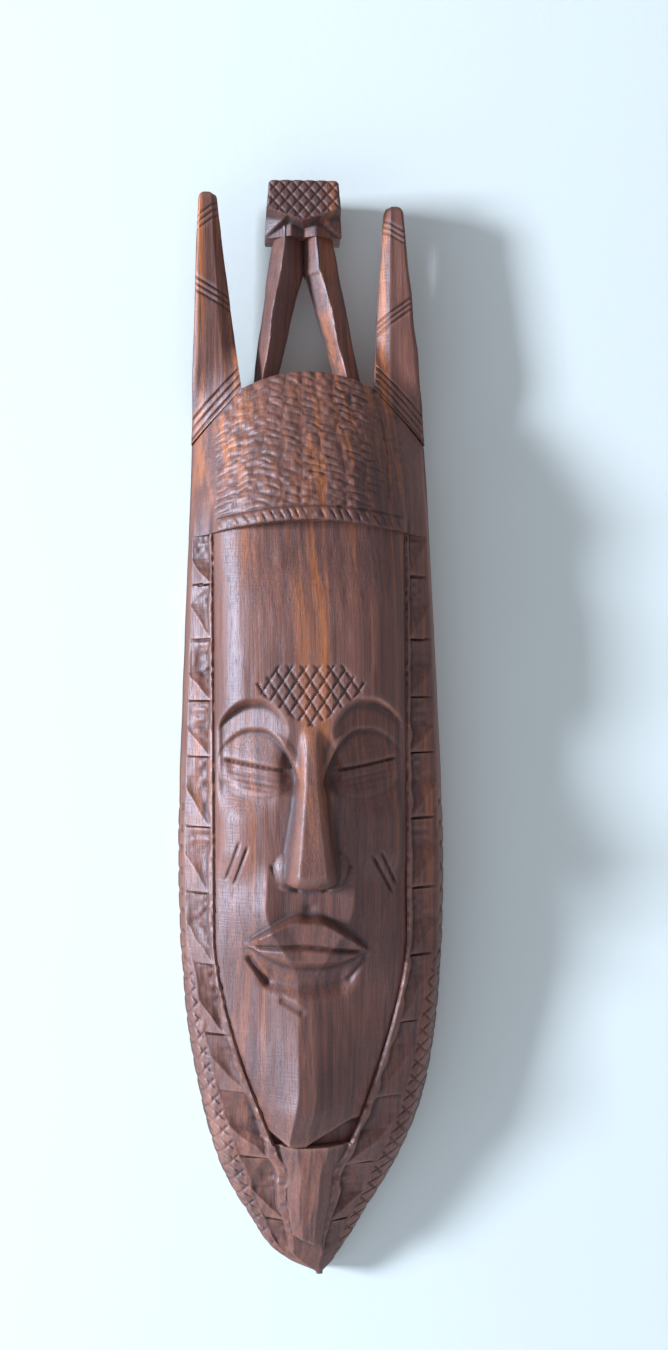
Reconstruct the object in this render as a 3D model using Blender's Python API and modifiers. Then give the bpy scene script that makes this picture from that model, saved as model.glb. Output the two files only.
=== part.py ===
"""Carved wooden wall mask: face, coiffure, chip-carved borders, beard, horns, crest and a swinging hanger ring.

Units are metres and +Z is up. A viewer in front of the mask looks along +Y. The flat back lies on the plane
Y = 0, and the origin is the point on that plane where the hanger ring rests on its nail. Every height in this
file is measured up from the tip of the beard, and every depth is measured from the wall towards the viewer.
"""

import math

import bmesh
import bpy
from mathutils import Matrix

# Overall sizes of the carving.
BEARD_LENGTH = 0.067        # tip of the beard to the bottom of the chin
FACE_LENGTH = 0.271         # bottom of the chin to the hem of the coiffure, on the centre line
COIFFURE_HEIGHT = 0.067     # hem to crown, on the centre line
CREST_RISE = 0.085          # crown to the top of the crest block
HORN_RISE_LEFT = 0.083      # crown level to the top of the left horn
HORN_RISE_RIGHT = 0.0775
WIDTH = 0.1206              # widest place, at the cheeks
CROWN_WIDTH = 0.103         # across the roots of the horns
TIP_WIDTH = 0.003           # blunt end of the beard
SEAM = 0.0003               # gap left between neighbouring pieces

# Face.
FACE_WIDTH = 0.084
CHIN_WIDTH = 0.033
FACE_EDGE_DEPTH = 0.033
CHIN_DEPTH = 0.038
MOUTH_DEPTH = 0.047
EYE_DEPTH = 0.043
BROW_DEPTH = 0.051
FOREHEAD_DEPTH = 0.051
HEM_FACE_DEPTH = 0.046
NOSE_DEPTH = 0.066
NOSE_WIDTH = 0.033
NOSE_BRIDGE_WIDTH = 0.013
NOSE_BASE_LEVEL = 0.42      # levels are shares of the way from the chin to the hem
NOSE_TOP_LEVEL = 0.69
LIP_LEVEL = 0.325
LIP_RISE = 0.008
LIP_WIDTH = 0.056
LIP_HEIGHT = 0.024

# Hollow carved into the back, behind the face.
HOLLOW_WIDTH = 0.068
HOLLOW_LENGTH = 0.240
HOLLOW_DEPTH = 0.030

# Coiffure, borders and beard.
HEM_ARCH = 0.0045           # rise of the hem from the sides to the centre line
HEM_DEPTH = 0.054
CROWN_ARCH = 0.007
CROWN_DEPTH = 0.034
COIFFURE_EDGE_DEPTH = 0.013
BORDER_INNER_DEPTH = 0.034
BORDER_SHOULDER_DEPTH = 0.025
BORDER_EDGE_DEPTH = 0.012
BEARD_DEPTH = 0.034
BEARD_TIP_DEPTH = 0.009

# Horns.
HORN_ROOT_WIDTH = 0.0222
HORN_TIP_WIDTH = 0.0083
HORN_ROOT_DEPTH = 0.026
HORN_TIP_DEPTH = 0.023
HORN_BACK_RISE = 0.012      # how far the horn's back stands off the wall above its root
HORN_BACK_RUN = 0.35        # share of the horn's height over which its back leaves the wall
HORN_SEAM_DROP = 0.022      # fall of the root seam from the inner side to the outer side
HORN_LEAN_RIGHT = 0.004     # how far the right horn's tip is drawn in from the mask's outline
HORN_ROOT_FALL = 0.003      # how much lower the horn's front lies at its root

# Crest: two splayed legs that carry a block.
BLOCK_WIDTH = 0.0348
BLOCK_TOP_WIDTH = 0.0308
BLOCK_HEIGHT = 0.023
BLOCK_BACK_DEPTH = 0.006
BLOCK_FRONT_DEPTH = 0.031
BLOCK_CHAMFER = 0.011
LEG_WIDTH = 0.0116
LEG_TO_HORN = 0.0045        # bare crown between a leg and the horn beside it
LEG_TOP_HALF_SPAN = 0.0138
LEG_FORK_DROP = 0.0145      # underside of the block to the place where the legs part
LEG_BACK_DEPTH = 0.009
LEG_EDGE_DEPTH = 0.017
LEG_RIDGE_DEPTH = 0.025

# Hanger: a ring whose straight bar turns in the rolled end of a strap, in a pocket cut into the back.
HANGER_DROP = 0.0115        # crown to the nail
RING_WIRE = 0.0022
RING_WIDTH = 0.018
RING_REACH = 0.016          # bar axis to the axis of the wire at the far end of the ring
RING_CORNER = 0.002
BAR_CLEARANCE = 0.00025
STRAP_THICKNESS = 0.0008
STRAP_WIDTH = 0.010
STRAP_LENGTH = 0.028
SCREW_SPACING = 0.012
SCREW_FIRST = 0.009         # bar axis to the upper screw
SCREW_HEAD = 0.006
SCREW_HEAD_HEIGHT = 0.0016
SCREW_SHANK = 0.0028
SCREW_LENGTH = 0.012
SCREW_TIP = 0.003
POCKET_WIDTH = 0.030
POCKET_DEPTH = 0.009
POCKET_MARGIN = 0.002       # free space above the ring and below the strap
POCKET_CORNER = 0.004

# Levels and places worked out from the sizes above.
HEM_CENTRE = BEARD_LENGTH + FACE_LENGTH
HEM_SIDE = HEM_CENTRE - HEM_ARCH
CROWN = HEM_CENTRE + COIFFURE_HEIGHT
HORN_ROOT = CROWN - CROWN_ARCH
CREST_TOP = CROWN + CREST_RISE
BLOCK_BOTTOM = CREST_TOP - BLOCK_HEIGHT
WIDEST = BEARD_LENGTH + 0.47 * FACE_LENGTH
JAW = BEARD_LENGTH + 0.33 * FACE_LENGTH
HANG_HEIGHT = CROWN - HANGER_DROP
HORN_INNER_ROOT = CROWN_WIDTH / 2 - HORN_ROOT_WIDTH
LEG_FOOT_OUTER = HORN_INNER_ROOT - LEG_TO_HORN
LEG_FOOT_INNER = LEG_FOOT_OUTER - LEG_WIDTH

# Hanger places. Depths are negative Y, so they are written as depths from the wall here.
STRAP_BACK = POCKET_DEPTH - SEAM
STRAP_FRONT = STRAP_BACK - STRAP_THICKNESS
BARREL_INNER = RING_WIRE / 2 + BAR_CLEARANCE
BARREL_OUTER = BARREL_INNER + STRAP_THICKNESS
BAR_DEPTH = STRAP_BACK - BARREL_OUTER
BAR_Z = -(RING_REACH - RING_WIRE / 2)
SCREW_LEVELS = (BAR_Z - SCREW_FIRST, BAR_Z - SCREW_FIRST - SCREW_SPACING)

# Grid sizes of the carved surfaces.
EDGE_ROWS = 44
FACE_COLUMNS = 20
BORDER_COLUMNS = 5
COIFFURE_COLUMNS = 26
COIFFURE_ROWS = 12
BEARD_COLUMNS = 14
BEARD_ROWS = 10
HORN_COLUMNS = 4
HORN_ROWS = 10
LEG_COLUMNS = 4
LEG_ROWS = 8


# ---------------------------------------------------------------- shared helpers


def lerp(a, b, t):
    return a + (b - a) * t


def smooth(t):
    """0 below 0, 1 above 1 and an S-curve between."""
    t = min(1.0, max(0.0, t))
    return t * t * (3 - 2 * t)


def through(stations, t):
    """The smooth curve through (place, value) stations, flat at each one."""
    for (t0, a), (t1, b) in zip(stations, stations[1:]):
        if t <= t1:
            return lerp(a, b, smooth((t - t0) / (t1 - t0)))
    return stations[-1][1]


def to_z(height):
    return height - HANG_HEIGHT


def clear_scene():
    for obj in list(bpy.data.objects):
        bpy.data.objects.remove(obj, do_unlink=True)


def new_collection(name):
    collection = bpy.data.collections.new(name)
    bpy.context.scene.collection.children.link(collection)
    return collection


def material(name, colour, roughness, metallic=0.0):
    look = bpy.data.materials.new(name)
    look.use_nodes = True
    shader = look.node_tree.nodes["Principled BSDF"]
    shader.inputs["Base Color"].default_value = (*colour, 1.0)
    shader.inputs["Roughness"].default_value = roughness
    shader.inputs["Metallic"].default_value = metallic
    return look


def object_from(bm, name, collection, look=None, location=(0.0, 0.0, 0.0)):
    """Turns the bmesh into a named object with its normals facing out, and frees the bmesh."""
    bmesh.ops.recalc_face_normals(bm, faces=bm.faces)
    mesh = bpy.data.meshes.new(name)
    bm.to_mesh(mesh)
    bm.free()
    obj = bpy.data.objects.new(name, mesh)
    obj.location = location
    if look:
        mesh.materials.append(look)
    collection.objects.link(obj)
    return obj


def shade(obj, degrees=35):
    obj.data.shade_smooth()
    obj.data.set_sharp_from_angle(angle=math.radians(degrees))


def hide_cutter(obj):
    obj.hide_render = True
    obj.display_type = "WIRE"


def cut(obj, cutter):
    """Subtracts one cutter from a solid."""
    hide_cutter(cutter)
    modifier = obj.modifiers.new("cut_" + cutter.name, "BOOLEAN")
    modifier.operation = "DIFFERENCE"
    modifier.solver = "EXACT"
    modifier.object = cutter


def soften(obj, width, segments=2):
    """Rounds the sharp edges of a solid."""
    modifier = obj.modifiers.new("worn_edges", "BEVEL")
    modifier.width = width
    modifier.segments = segments
    modifier.limit_method = "ANGLE"
    modifier.angle_limit = math.radians(50)


def relief(name, collection, look, grid, place, front, back=lambda x, height: 0.0):
    """A carved section: a grid laid out by place(u, v), raised to front(x, height), with a wall down to its back.

    u and v run from 0 to 1. place gives x and a height, and front and back give depths from the wall.
    """
    columns, rows = grid
    bm = bmesh.new()
    bmesh.ops.create_grid(bm, x_segments=columns, y_segments=rows, size=0.5)
    for vert in bm.verts:
        x, height = place(vert.co.x + 0.5, vert.co.y + 0.5)
        vert.co = (x, -front(x, height), to_z(height))
    rim = [edge for edge in bm.edges if edge.is_boundary]
    wall = bmesh.ops.extrude_edge_only(bm, edges=rim)["geom"]
    for vert in (item for item in wall if isinstance(item, bmesh.types.BMVert)):
        vert.co.y = -back(vert.co.x, vert.co.z + HANG_HEIGHT)
    open_rim = [edge for edge in bm.edges if edge.is_boundary]
    bmesh.ops.edgeloop_fill(bm, edges=open_rim)
    return object_from(bm, name, collection, look)


# ---------------------------------------------------------------- outlines


def half_width(height):
    """Half the width of the whole mask: an ogee down to the beard's tip, and a slow taper up to the horn tips."""
    if height < WIDEST:
        t = 1 - height / WIDEST
        return max(TIP_WIDTH / 2, WIDTH / 2 * (1 - 0.32 * t**2 - 0.68 * t**4.5))
    s = (height - WIDEST) / (HORN_ROOT - WIDEST)
    return lerp(WIDTH / 2, CROWN_WIDTH / 2, s**1.15)


def face_half_width(height):
    """Half the width of the face: parallel sides above the jaw, drawn in to a blunt chin below it."""
    t = max(0.0, (JAW - height) / (JAW - BEARD_LENGTH))
    return lerp(FACE_WIDTH / 2, CHIN_WIDTH / 2, t**1.5)


def hem(x):
    """Height of the coiffure's lower edge, an arch that levels out at the sides of the mask."""
    r = min(1.0, abs(x) / half_width(HEM_SIDE))
    return HEM_SIDE + HEM_ARCH * (1 - r**2) ** 2


def crown(x):
    """Height of the coiffure's upper edge: an arch between the horns, and the slanted root seams beyond it."""
    over = abs(x) - HORN_INNER_ROOT
    if over > 0:
        return HORN_ROOT - HORN_SEAM_DROP * over / HORN_ROOT_WIDTH
    return HORN_ROOT + CROWN_ARCH * (1 - (x / HORN_INNER_ROOT) ** 2)


# ---------------------------------------------------------------- depths from the wall


def face_depth(x, height):
    """Depth of the face: a domed cross-section that follows the profile, with the nose, eyes and lips added."""
    level = (height - BEARD_LENGTH) / FACE_LENGTH
    profile = (
        (0.0, CHIN_DEPTH),
        (0.32, MOUTH_DEPTH),
        (0.45, MOUTH_DEPTH - 0.001),
        (0.61, EYE_DEPTH),
        (0.69, BROW_DEPTH),
        (0.84, FOREHEAD_DEPTH),
        (1.0, HEM_FACE_DEPTH),
    )
    r = min(1.0, abs(x) / face_half_width(height))
    depth = lerp(FACE_EDGE_DEPTH, through(profile, level), (1 - r**2.4) ** 0.75)
    return max(depth, nose_depth(x, level, depth)) + lip_rise(x, level)


def nose_depth(x, level, under):
    """Depth of the nose: a ridge that widens and rises from the brow down to the nostrils."""
    base, top = NOSE_BASE_LEVEL, NOSE_TOP_LEVEL
    down = (top - level) / (top - base)
    if down < 0 or down > 1.12:
        return under
    reach = smooth(down)
    tip = 1 - smooth((down - 1.0) / 0.12)
    half = lerp(NOSE_BRIDGE_WIDTH, NOSE_WIDTH, min(1.0, down) ** 1.4) / 2
    side = max(0.0, 1 - (abs(x) / half) ** 2)
    return lerp(under, lerp(BROW_DEPTH, NOSE_DEPTH, reach), side**0.8 * tip)


def lip_rise(x, level):
    """Height of the closed lips above the face."""
    across = 1 - (2 * x / LIP_WIDTH) ** 2
    up = 1 - (2 * (level - LIP_LEVEL) * FACE_LENGTH / LIP_HEIGHT) ** 2
    return LIP_RISE * max(0.0, across) * max(0.0, up) ** 0.5


def coiffure_depth(x, height):
    """Depth of the coiffure: it falls back from the hem to the crown, and rounds off to the sides."""
    up = (height - hem(x)) / (crown(x) - hem(x))
    centre = lerp(HEM_DEPTH, CROWN_DEPTH, max(0.0, up) ** 1.4)
    r = min(1.0, abs(x) / half_width(height))
    return lerp(COIFFURE_EDGE_DEPTH, centre, (1 - r**2.6) ** 0.75)


def border_depth(x, height):
    """Depth of a border: a slope out from the face to a shoulder, rounded over to the outer edge."""
    inner = face_half_width(height)
    q = min(1.0, max(0.0, (abs(x) - inner) / (half_width(height) - inner)))
    if q < 0.75:
        return lerp(BORDER_INNER_DEPTH, BORDER_SHOULDER_DEPTH, q / 0.75)
    return lerp(BORDER_SHOULDER_DEPTH, BORDER_EDGE_DEPTH, ((q - 0.75) / 0.25) ** 1.6)


def beard_depth(x, height):
    """Depth of the beard: a blunt keel that falls back to the tip and to both sides."""
    up = min(1.0, height / BEARD_LENGTH)
    centre = lerp(BEARD_TIP_DEPTH, BEARD_DEPTH, up**0.7)
    edge = min(centre, lerp(BEARD_TIP_DEPTH, BORDER_EDGE_DEPTH, up))
    r = min(1.0, abs(x) / half_width(height))
    return lerp(edge, centre, 1 - r**1.6)


# ---------------------------------------------------------------- carved sections


def make_face(collection, cutters, look):
    """The face, from the chin to the hem, with a boat-shaped hollow behind it."""
    edge_top = hem(FACE_WIDTH / 2) - SEAM

    def place(u, v):
        edge = lerp(BEARD_LENGTH, edge_top, v)
        x = lerp(-1, 1, u) * face_half_width(edge)
        return x, edge + (hem(x) - SEAM - edge_top) * smooth(v)

    face = relief("face", collection, look, (FACE_COLUMNS, EDGE_ROWS), place, face_depth)
    bm = bmesh.new()
    bmesh.ops.create_uvsphere(bm, u_segments=24, v_segments=14, radius=1.0)
    bmesh.ops.scale(bm, vec=(HOLLOW_WIDTH / 2, HOLLOW_DEPTH, HOLLOW_LENGTH / 2), verts=bm.verts)
    middle = to_z(BEARD_LENGTH + FACE_LENGTH / 2)
    cut(face, object_from(bm, "hollow_cutter", cutters, location=(0.0, 0.0, middle)))
    shade(face)


def make_border(side, collection, look):
    """One border, between the face and the outer edge, from the level of the chin up to the hem."""
    sign = -1 if side == "left" else 1
    edge_top = hem(FACE_WIDTH / 2) - SEAM

    def place(u, v):
        edge = lerp(BEARD_LENGTH, edge_top, v)
        q = u if sign > 0 else 1 - u
        x = sign * lerp(face_half_width(edge) + SEAM, half_width(edge), q)
        return x, edge + (hem(x) - SEAM - edge_top) * smooth(4 * v - 3)

    border = relief(
        f"border_{side}", collection, look, (BORDER_COLUMNS, EDGE_ROWS), place, border_depth
    )
    shade(border)


def make_beard(collection, look):
    """The beard, from the chin down to its tip."""

    def place(u, v):
        height = lerp(0.0, BEARD_LENGTH - SEAM, v)
        return lerp(-1, 1, u) * half_width(height), height

    shade(relief("beard", collection, look, (BEARD_COLUMNS, BEARD_ROWS), place, beard_depth))


def make_coiffure(collection, cutters, look):
    """The coiffure, from the hem up to the crown, with the pocket and the pilot holes for the hanger."""

    def place(u, v):
        edge = lerp(HEM_SIDE, HORN_ROOT - HORN_SEAM_DROP, v)
        x = lerp(-1, 1, u) * half_width(edge)
        return x, lerp(hem(x), crown(x), v)

    coiffure = relief(
        "coiffure", collection, look, (COIFFURE_COLUMNS, COIFFURE_ROWS), place, coiffure_depth
    )
    cut(coiffure, pocket_cutter(cutters))
    for number, level in enumerate(SCREW_LEVELS, 1):
        cut(coiffure, hole_cutter(f"pilot_hole_{number}", cutters, level, POCKET_DEPTH + SCREW_LENGTH))
    shade(coiffure)


def make_horn(side, collection, look):
    """One horn, tapered from its slanted root seam to a blunt tip, its back drawn away from the wall."""
    sign = -1 if side == "left" else 1
    tip = CROWN + (HORN_RISE_LEFT if side == "left" else HORN_RISE_RIGHT)
    lean = 0.0 if side == "left" else HORN_LEAN_RIGHT
    tip_x = half_width(tip) - lean
    outer_root = HORN_ROOT - HORN_SEAM_DROP

    def place(u, v):
        q = u if sign > 0 else 1 - u
        outer = lerp(outer_root + SEAM, tip, v)
        inner = lerp(HORN_ROOT + SEAM, tip, v)
        inner_x = lerp(HORN_INNER_ROOT, tip_x - HORN_TIP_WIDTH, v)
        outer_x = half_width(outer) - lean * v
        return sign * lerp(inner_x, outer_x, q), lerp(inner, outer, q)

    def front(x, height):
        up = (height - outer_root) / (tip - outer_root)
        return lerp(HORN_ROOT_DEPTH, HORN_TIP_DEPTH, up) - HORN_ROOT_FALL * (1 - smooth(4 * up))

    def back(x, height):
        up = (height - outer_root) / (tip - outer_root)
        return HORN_BACK_RISE * smooth(up / HORN_BACK_RUN)

    horn = relief(f"horn_{side}", collection, look, (HORN_COLUMNS, HORN_ROWS), place, front, back)
    soften(horn, 0.0015)
    shade(horn)


def make_leg(side, collection, look):
    """One leg of the crest: a ridged bar from the crown to the underside of the block."""
    sign = -1 if side == "left" else 1
    top = BLOCK_BOTTOM - SEAM
    fork = top - LEG_FORK_DROP
    foot = crown(LEG_FOOT_INNER) + SEAM

    def inner_x(height):
        open_share = max(0.0, (fork - height) / (fork - foot))
        return lerp(SEAM / 2, LEG_FOOT_INNER, open_share)

    def place(u, v):
        q = u if sign > 0 else 1 - u
        height = lerp(foot, top, v)
        x = lerp(inner_x(height), lerp(LEG_FOOT_OUTER, LEG_TOP_HALF_SPAN, v), q)
        return sign * x, height - (foot - SEAM - crown(x)) * (1 - v)

    def front(x, height):
        v = (height - foot) / (top - foot)
        outer = lerp(LEG_FOOT_OUTER, LEG_TOP_HALF_SPAN, v)
        q = (abs(x) - inner_x(height)) / (outer - inner_x(height))
        return lerp(LEG_RIDGE_DEPTH, LEG_EDGE_DEPTH, min(1.0, abs(2 * q - 1)))

    leg = relief(
        f"crest_leg_{side}",
        collection,
        look,
        (LEG_COLUMNS, LEG_ROWS),
        place,
        front,
        lambda x, height: LEG_BACK_DEPTH,
    )
    shade(leg)


def make_block(collection, look):
    """The crest block: a box narrowed towards its top, with both lower front corners cut off."""
    bm = bmesh.new()
    bmesh.ops.create_cube(bm, size=1.0)
    depth = BLOCK_FRONT_DEPTH - BLOCK_BACK_DEPTH
    for vert in bm.verts:
        width = BLOCK_TOP_WIDTH if vert.co.z > 0 else BLOCK_WIDTH
        vert.co.x *= width
        vert.co.y *= depth
        vert.co.z *= BLOCK_HEIGHT
    for sign in (-1, 1):
        corner = (sign * (BLOCK_WIDTH / 2 - BLOCK_CHAMFER), -depth / 2, -BLOCK_HEIGHT / 2)
        bmesh.ops.bisect_plane(
            bm,
            geom=bm.verts[:] + bm.edges[:] + bm.faces[:],
            plane_co=corner,
            plane_no=(sign * 0.6, -0.55, -0.6),
            clear_outer=True,
        )
        bmesh.ops.edgeloop_fill(bm, edges=[edge for edge in bm.edges if edge.is_boundary])
    middle = (0.0, -(BLOCK_FRONT_DEPTH + BLOCK_BACK_DEPTH) / 2, to_z(CREST_TOP - BLOCK_HEIGHT / 2))
    block = object_from(bm, "crest_block", collection, look, location=middle)
    soften(block, 0.001)
    shade(block)


# ---------------------------------------------------------------- hanger


def pocket_cutter(cutters):
    """The rounded recess that takes the strap, its screws and the ring."""
    top = BAR_Z + RING_REACH + RING_WIRE / 2 + POCKET_MARGIN
    bottom = BAR_Z - STRAP_LENGTH - POCKET_MARGIN
    bm = bmesh.new()
    bmesh.ops.create_cube(bm, size=1.0)
    bmesh.ops.scale(bm, vec=(POCKET_WIDTH, 2 * POCKET_DEPTH, top - bottom), verts=bm.verts)
    upright = [e for e in bm.edges if abs(e.verts[0].co.y - e.verts[1].co.y) > POCKET_DEPTH]
    bmesh.ops.bevel(
        bm, geom=upright, offset=POCKET_CORNER, segments=4, profile=0.5, affect="EDGES"
    )
    return object_from(bm, "pocket_cutter", cutters, location=(0.0, 0.0, (top + bottom) / 2))


def hole_cutter(name, cutters, level, deepest):
    """A round hole for a screw's shank, from the wall plane down to a depth."""
    bm = bmesh.new()
    radius = SCREW_SHANK / 2 + SEAM
    bmesh.ops.create_cone(
        bm,
        cap_ends=True,
        segments=16,
        radius1=radius,
        radius2=radius,
        depth=deepest,
        matrix=Matrix.Translation((0.0, -deepest / 2, level)) @ Matrix.Rotation(math.pi / 2, 4, "X"),
    )
    return object_from(bm, name, cutters)


def curve_object(name, collection, points, cyclic=True, dimensions="3D"):
    data = bpy.data.curves.new(name, "CURVE")
    data.dimensions = dimensions
    spline = data.splines.new("POLY")
    spline.points.add(len(points) - 1)
    for point, place in zip(spline.points, points):
        point.co = (*place, 1.0)
    spline.use_cyclic_u = cyclic
    obj = bpy.data.objects.new(name, data)
    collection.objects.link(obj)
    return obj


def made_mesh(curve, collection, look):
    """Replaces a curve object by the welded mesh that it evaluates to."""
    bpy.context.view_layer.update()
    evaluated = curve.evaluated_get(bpy.context.evaluated_depsgraph_get())
    mesh = bpy.data.meshes.new_from_object(evaluated)
    bm = bmesh.new()
    bm.from_mesh(mesh)
    bmesh.ops.remove_doubles(bm, verts=bm.verts, dist=1e-6)
    name, matrix = curve.name, curve.matrix_world.copy()
    bpy.data.objects.remove(curve, do_unlink=True)
    bpy.data.meshes.remove(mesh)
    obj = object_from(bm, name, collection, look)
    obj.matrix_world = matrix
    return obj


def arc(centre, radius, start, end, steps):
    """Points on a circle from one angle to another, both in degrees."""
    turns = [math.radians(lerp(start, end, i / steps)) for i in range(steps + 1)]
    return [(centre[0] + radius * math.cos(a), centre[1] + radius * math.sin(a)) for a in turns]


def make_strap(collection, cutters, look):
    """The strap: a flat strip on the pocket floor, rolled three quarters round the ring's bar."""
    bar = (-BAR_DEPTH, BAR_Z)
    foot = BAR_Z - STRAP_LENGTH
    outer = [(-STRAP_BACK, foot)] + arc(bar, BARREL_OUTER, 180, -90, 18)
    inner = [(-STRAP_FRONT, foot)] + arc(bar, BARREL_INNER, 180, -90, 18)
    strip = curve_object(
        "hanger_strap", collection, [(y, z, 0.0) for y, z in outer + inner[::-1]], dimensions="2D"
    )
    strip.data.fill_mode = "BOTH"
    strip.data.extrude = STRAP_WIDTH / 2
    strip.rotation_euler = (math.pi / 2, 0.0, math.pi / 2)
    strap = made_mesh(strip, collection, look)
    for number, level in enumerate(SCREW_LEVELS, 1):
        cut(strap, hole_cutter(f"strap_hole_{number}", cutters, level, POCKET_DEPTH + SCREW_LENGTH))
    shade(strap)


def make_ring(collection, look):
    """The ring: a closed wire with a straight bar, two rounded corners and a half-circle at its far end.

    Its origin is on the bar's axis, which it turns about.
    """
    half = RING_WIDTH / 2
    bend = RING_CORNER
    wire = arc((half - bend, bend), bend, -90, 0, 3)
    wire += arc((0.0, RING_REACH - half), half, 0, 180, 16)
    wire += arc((bend - half, bend), bend, 180, 270, 3)
    ring = curve_object("hanger_ring", collection, [(x, 0.0, z) for x, z in wire])
    ring.data.bevel_depth = RING_WIRE / 2
    ring.data.bevel_resolution = 2
    ring.location = (0.0, -BAR_DEPTH, BAR_Z)
    ring.data.materials.append(look)


def make_screw(name, level, collection, look):
    """One pan-head wood screw, turned about its own axis and driven straight into the pocket floor."""
    head, shank = SCREW_HEAD / 2, SCREW_SHANK / 2
    dome = SCREW_HEAD_HEIGHT * 0.4
    profile = [(0.0, 0.0)] + [
        (head * math.sin(a), -dome * (1 - math.cos(a))) for a in (math.pi / 6, math.pi / 3, math.pi / 2)
    ]
    profile += [(head, -SCREW_HEAD_HEIGHT), (shank, -SCREW_HEAD_HEIGHT)]
    profile += [(shank, SCREW_TIP - SCREW_LENGTH), (0.0, -SCREW_LENGTH)]
    bm = bmesh.new()
    verts = [bm.verts.new((x, 0.0, z)) for x, z in profile]
    for start, end in zip(verts, verts[1:]):
        bm.edges.new((start, end))
    mesh = bpy.data.meshes.new(name)
    bm.to_mesh(mesh)
    bm.free()
    screw = bpy.data.objects.new(name, mesh)
    collection.objects.link(screw)
    mesh.materials.append(look)
    turned = screw.modifiers.new("turned", "SCREW")
    turned.axis = "Z"
    turned.steps = turned.render_steps = 16
    turned.use_merge_vertices = True
    turned.merge_threshold = 1e-5
    turned.use_smooth_shade = True
    head_top = STRAP_FRONT - SEAM - SCREW_HEAD_HEIGHT
    screw.location = (0.0, -head_top, level)
    screw.rotation_euler = (-math.pi / 2, 0.0, 0.0)


def main():
    clear_scene()
    carving = new_collection("carved_mask")
    cutters = new_collection("cutters")
    wood = {
        "face": (0.235, 0.105, 0.068),
        "coiffure": (0.170, 0.075, 0.048),
        "border_left": (0.260, 0.125, 0.090),
        "border_right": (0.200, 0.095, 0.065),
        "beard": (0.210, 0.100, 0.070),
        "horn_left": (0.220, 0.090, 0.062),
        "horn_right": (0.190, 0.080, 0.058),
        "crest_leg_left": (0.180, 0.080, 0.060),
        "crest_leg_right": (0.180, 0.080, 0.060),
        "crest_block": (0.150, 0.070, 0.055),
    }
    looks = {name: material(name + "_wood", colour, 0.45) for name, colour in wood.items()}
    make_face(carving, cutters, looks["face"])
    make_coiffure(carving, cutters, looks["coiffure"])
    make_beard(carving, looks["beard"])
    for side in ("left", "right"):
        make_border(side, carving, looks[f"border_{side}"])
        make_horn(side, carving, looks[f"horn_{side}"])
        make_leg(side, carving, looks[f"crest_leg_{side}"])
    make_block(carving, looks["crest_block"])
    make_strap(carving, cutters, material("strap_zinc", (0.55, 0.55, 0.53), 0.40, 1.0))
    make_ring(carving, material("ring_zinc", (0.60, 0.60, 0.58), 0.30, 1.0))
    for name, level in zip(("hanger_screw_upper", "hanger_screw_lower"), SCREW_LEVELS):
        make_screw(name, level, carving, material(name + "_steel", (0.50, 0.48, 0.42), 0.35, 1.0))


main()
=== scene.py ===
"""Dresses the carved wall mask: its surfaces, its hanger, the wood and zinc finishes, and the studio.

Shapes are worked out in millimetres as whole numpy arrays and put into the meshes in metres. x runs to the
viewer's right, h is the height above the tip of the beard, and depth is the distance out from the wall.
"""

import math

import bpy
import numpy as np
from bpy.props import FloatProperty, FloatVectorProperty, PointerProperty
from mathutils import Matrix, Vector


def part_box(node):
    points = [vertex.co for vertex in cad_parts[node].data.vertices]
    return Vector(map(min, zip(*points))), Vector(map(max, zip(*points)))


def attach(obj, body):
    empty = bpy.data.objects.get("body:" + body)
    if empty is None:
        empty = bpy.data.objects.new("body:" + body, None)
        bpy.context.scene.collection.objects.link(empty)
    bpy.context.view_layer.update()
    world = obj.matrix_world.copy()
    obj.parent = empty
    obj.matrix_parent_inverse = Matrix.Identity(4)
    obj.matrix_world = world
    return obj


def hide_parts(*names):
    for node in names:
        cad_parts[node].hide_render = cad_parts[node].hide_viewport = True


bl_info = {
    "name": "Carved Wall Mask",
    "version": (1, 0, 0),
    "blender": (4, 5, 0),
    "location": "View3D > Sidebar > Carved Mask",
    "description": "Carves the face, coiffure, borders, beard, horns and crest of a wooden wall mask",
    "category": "Object",
}

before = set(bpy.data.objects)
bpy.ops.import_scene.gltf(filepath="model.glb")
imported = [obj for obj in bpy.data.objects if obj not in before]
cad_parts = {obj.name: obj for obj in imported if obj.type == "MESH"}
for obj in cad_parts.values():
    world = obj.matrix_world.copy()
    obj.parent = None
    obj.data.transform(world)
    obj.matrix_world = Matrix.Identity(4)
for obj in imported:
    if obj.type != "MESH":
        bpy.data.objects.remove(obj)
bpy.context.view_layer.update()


def low(node):
    return 1000 * np.array(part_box(node)[0])


def high(node):
    return 1000 * np.array(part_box(node)[1])


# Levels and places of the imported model, in millimetres.
SEAM = 0.3
HANG = -low("beard")[2]
CHIN = low("face")[2] + HANG
HEM_CENTRE = high("face")[2] + HANG + SEAM
CROWN = high("coiffure")[2] + HANG
CREST_TOP = high("crest_block")[2] + HANG
BLOCK_BOTTOM = low("crest_block")[2] + HANG
BLOCK_BACK = -high("crest_block")[1]
BLOCK_FRONT = -low("crest_block")[1]
BLOCK_HALF = high("crest_block")[0]
LEG_FOOT_OUTER = high("crest_leg_right")[0]
LEG_BACK = -high("crest_leg_right")[1]
NOSE_DEPTH = -low("face")[1]
HORN_TIPS = {"left": high("horn_left")[2] + HANG, "right": high("horn_right")[2] + HANG}
HORN_INNER_ROOT = low("horn_right")[0]

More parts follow.
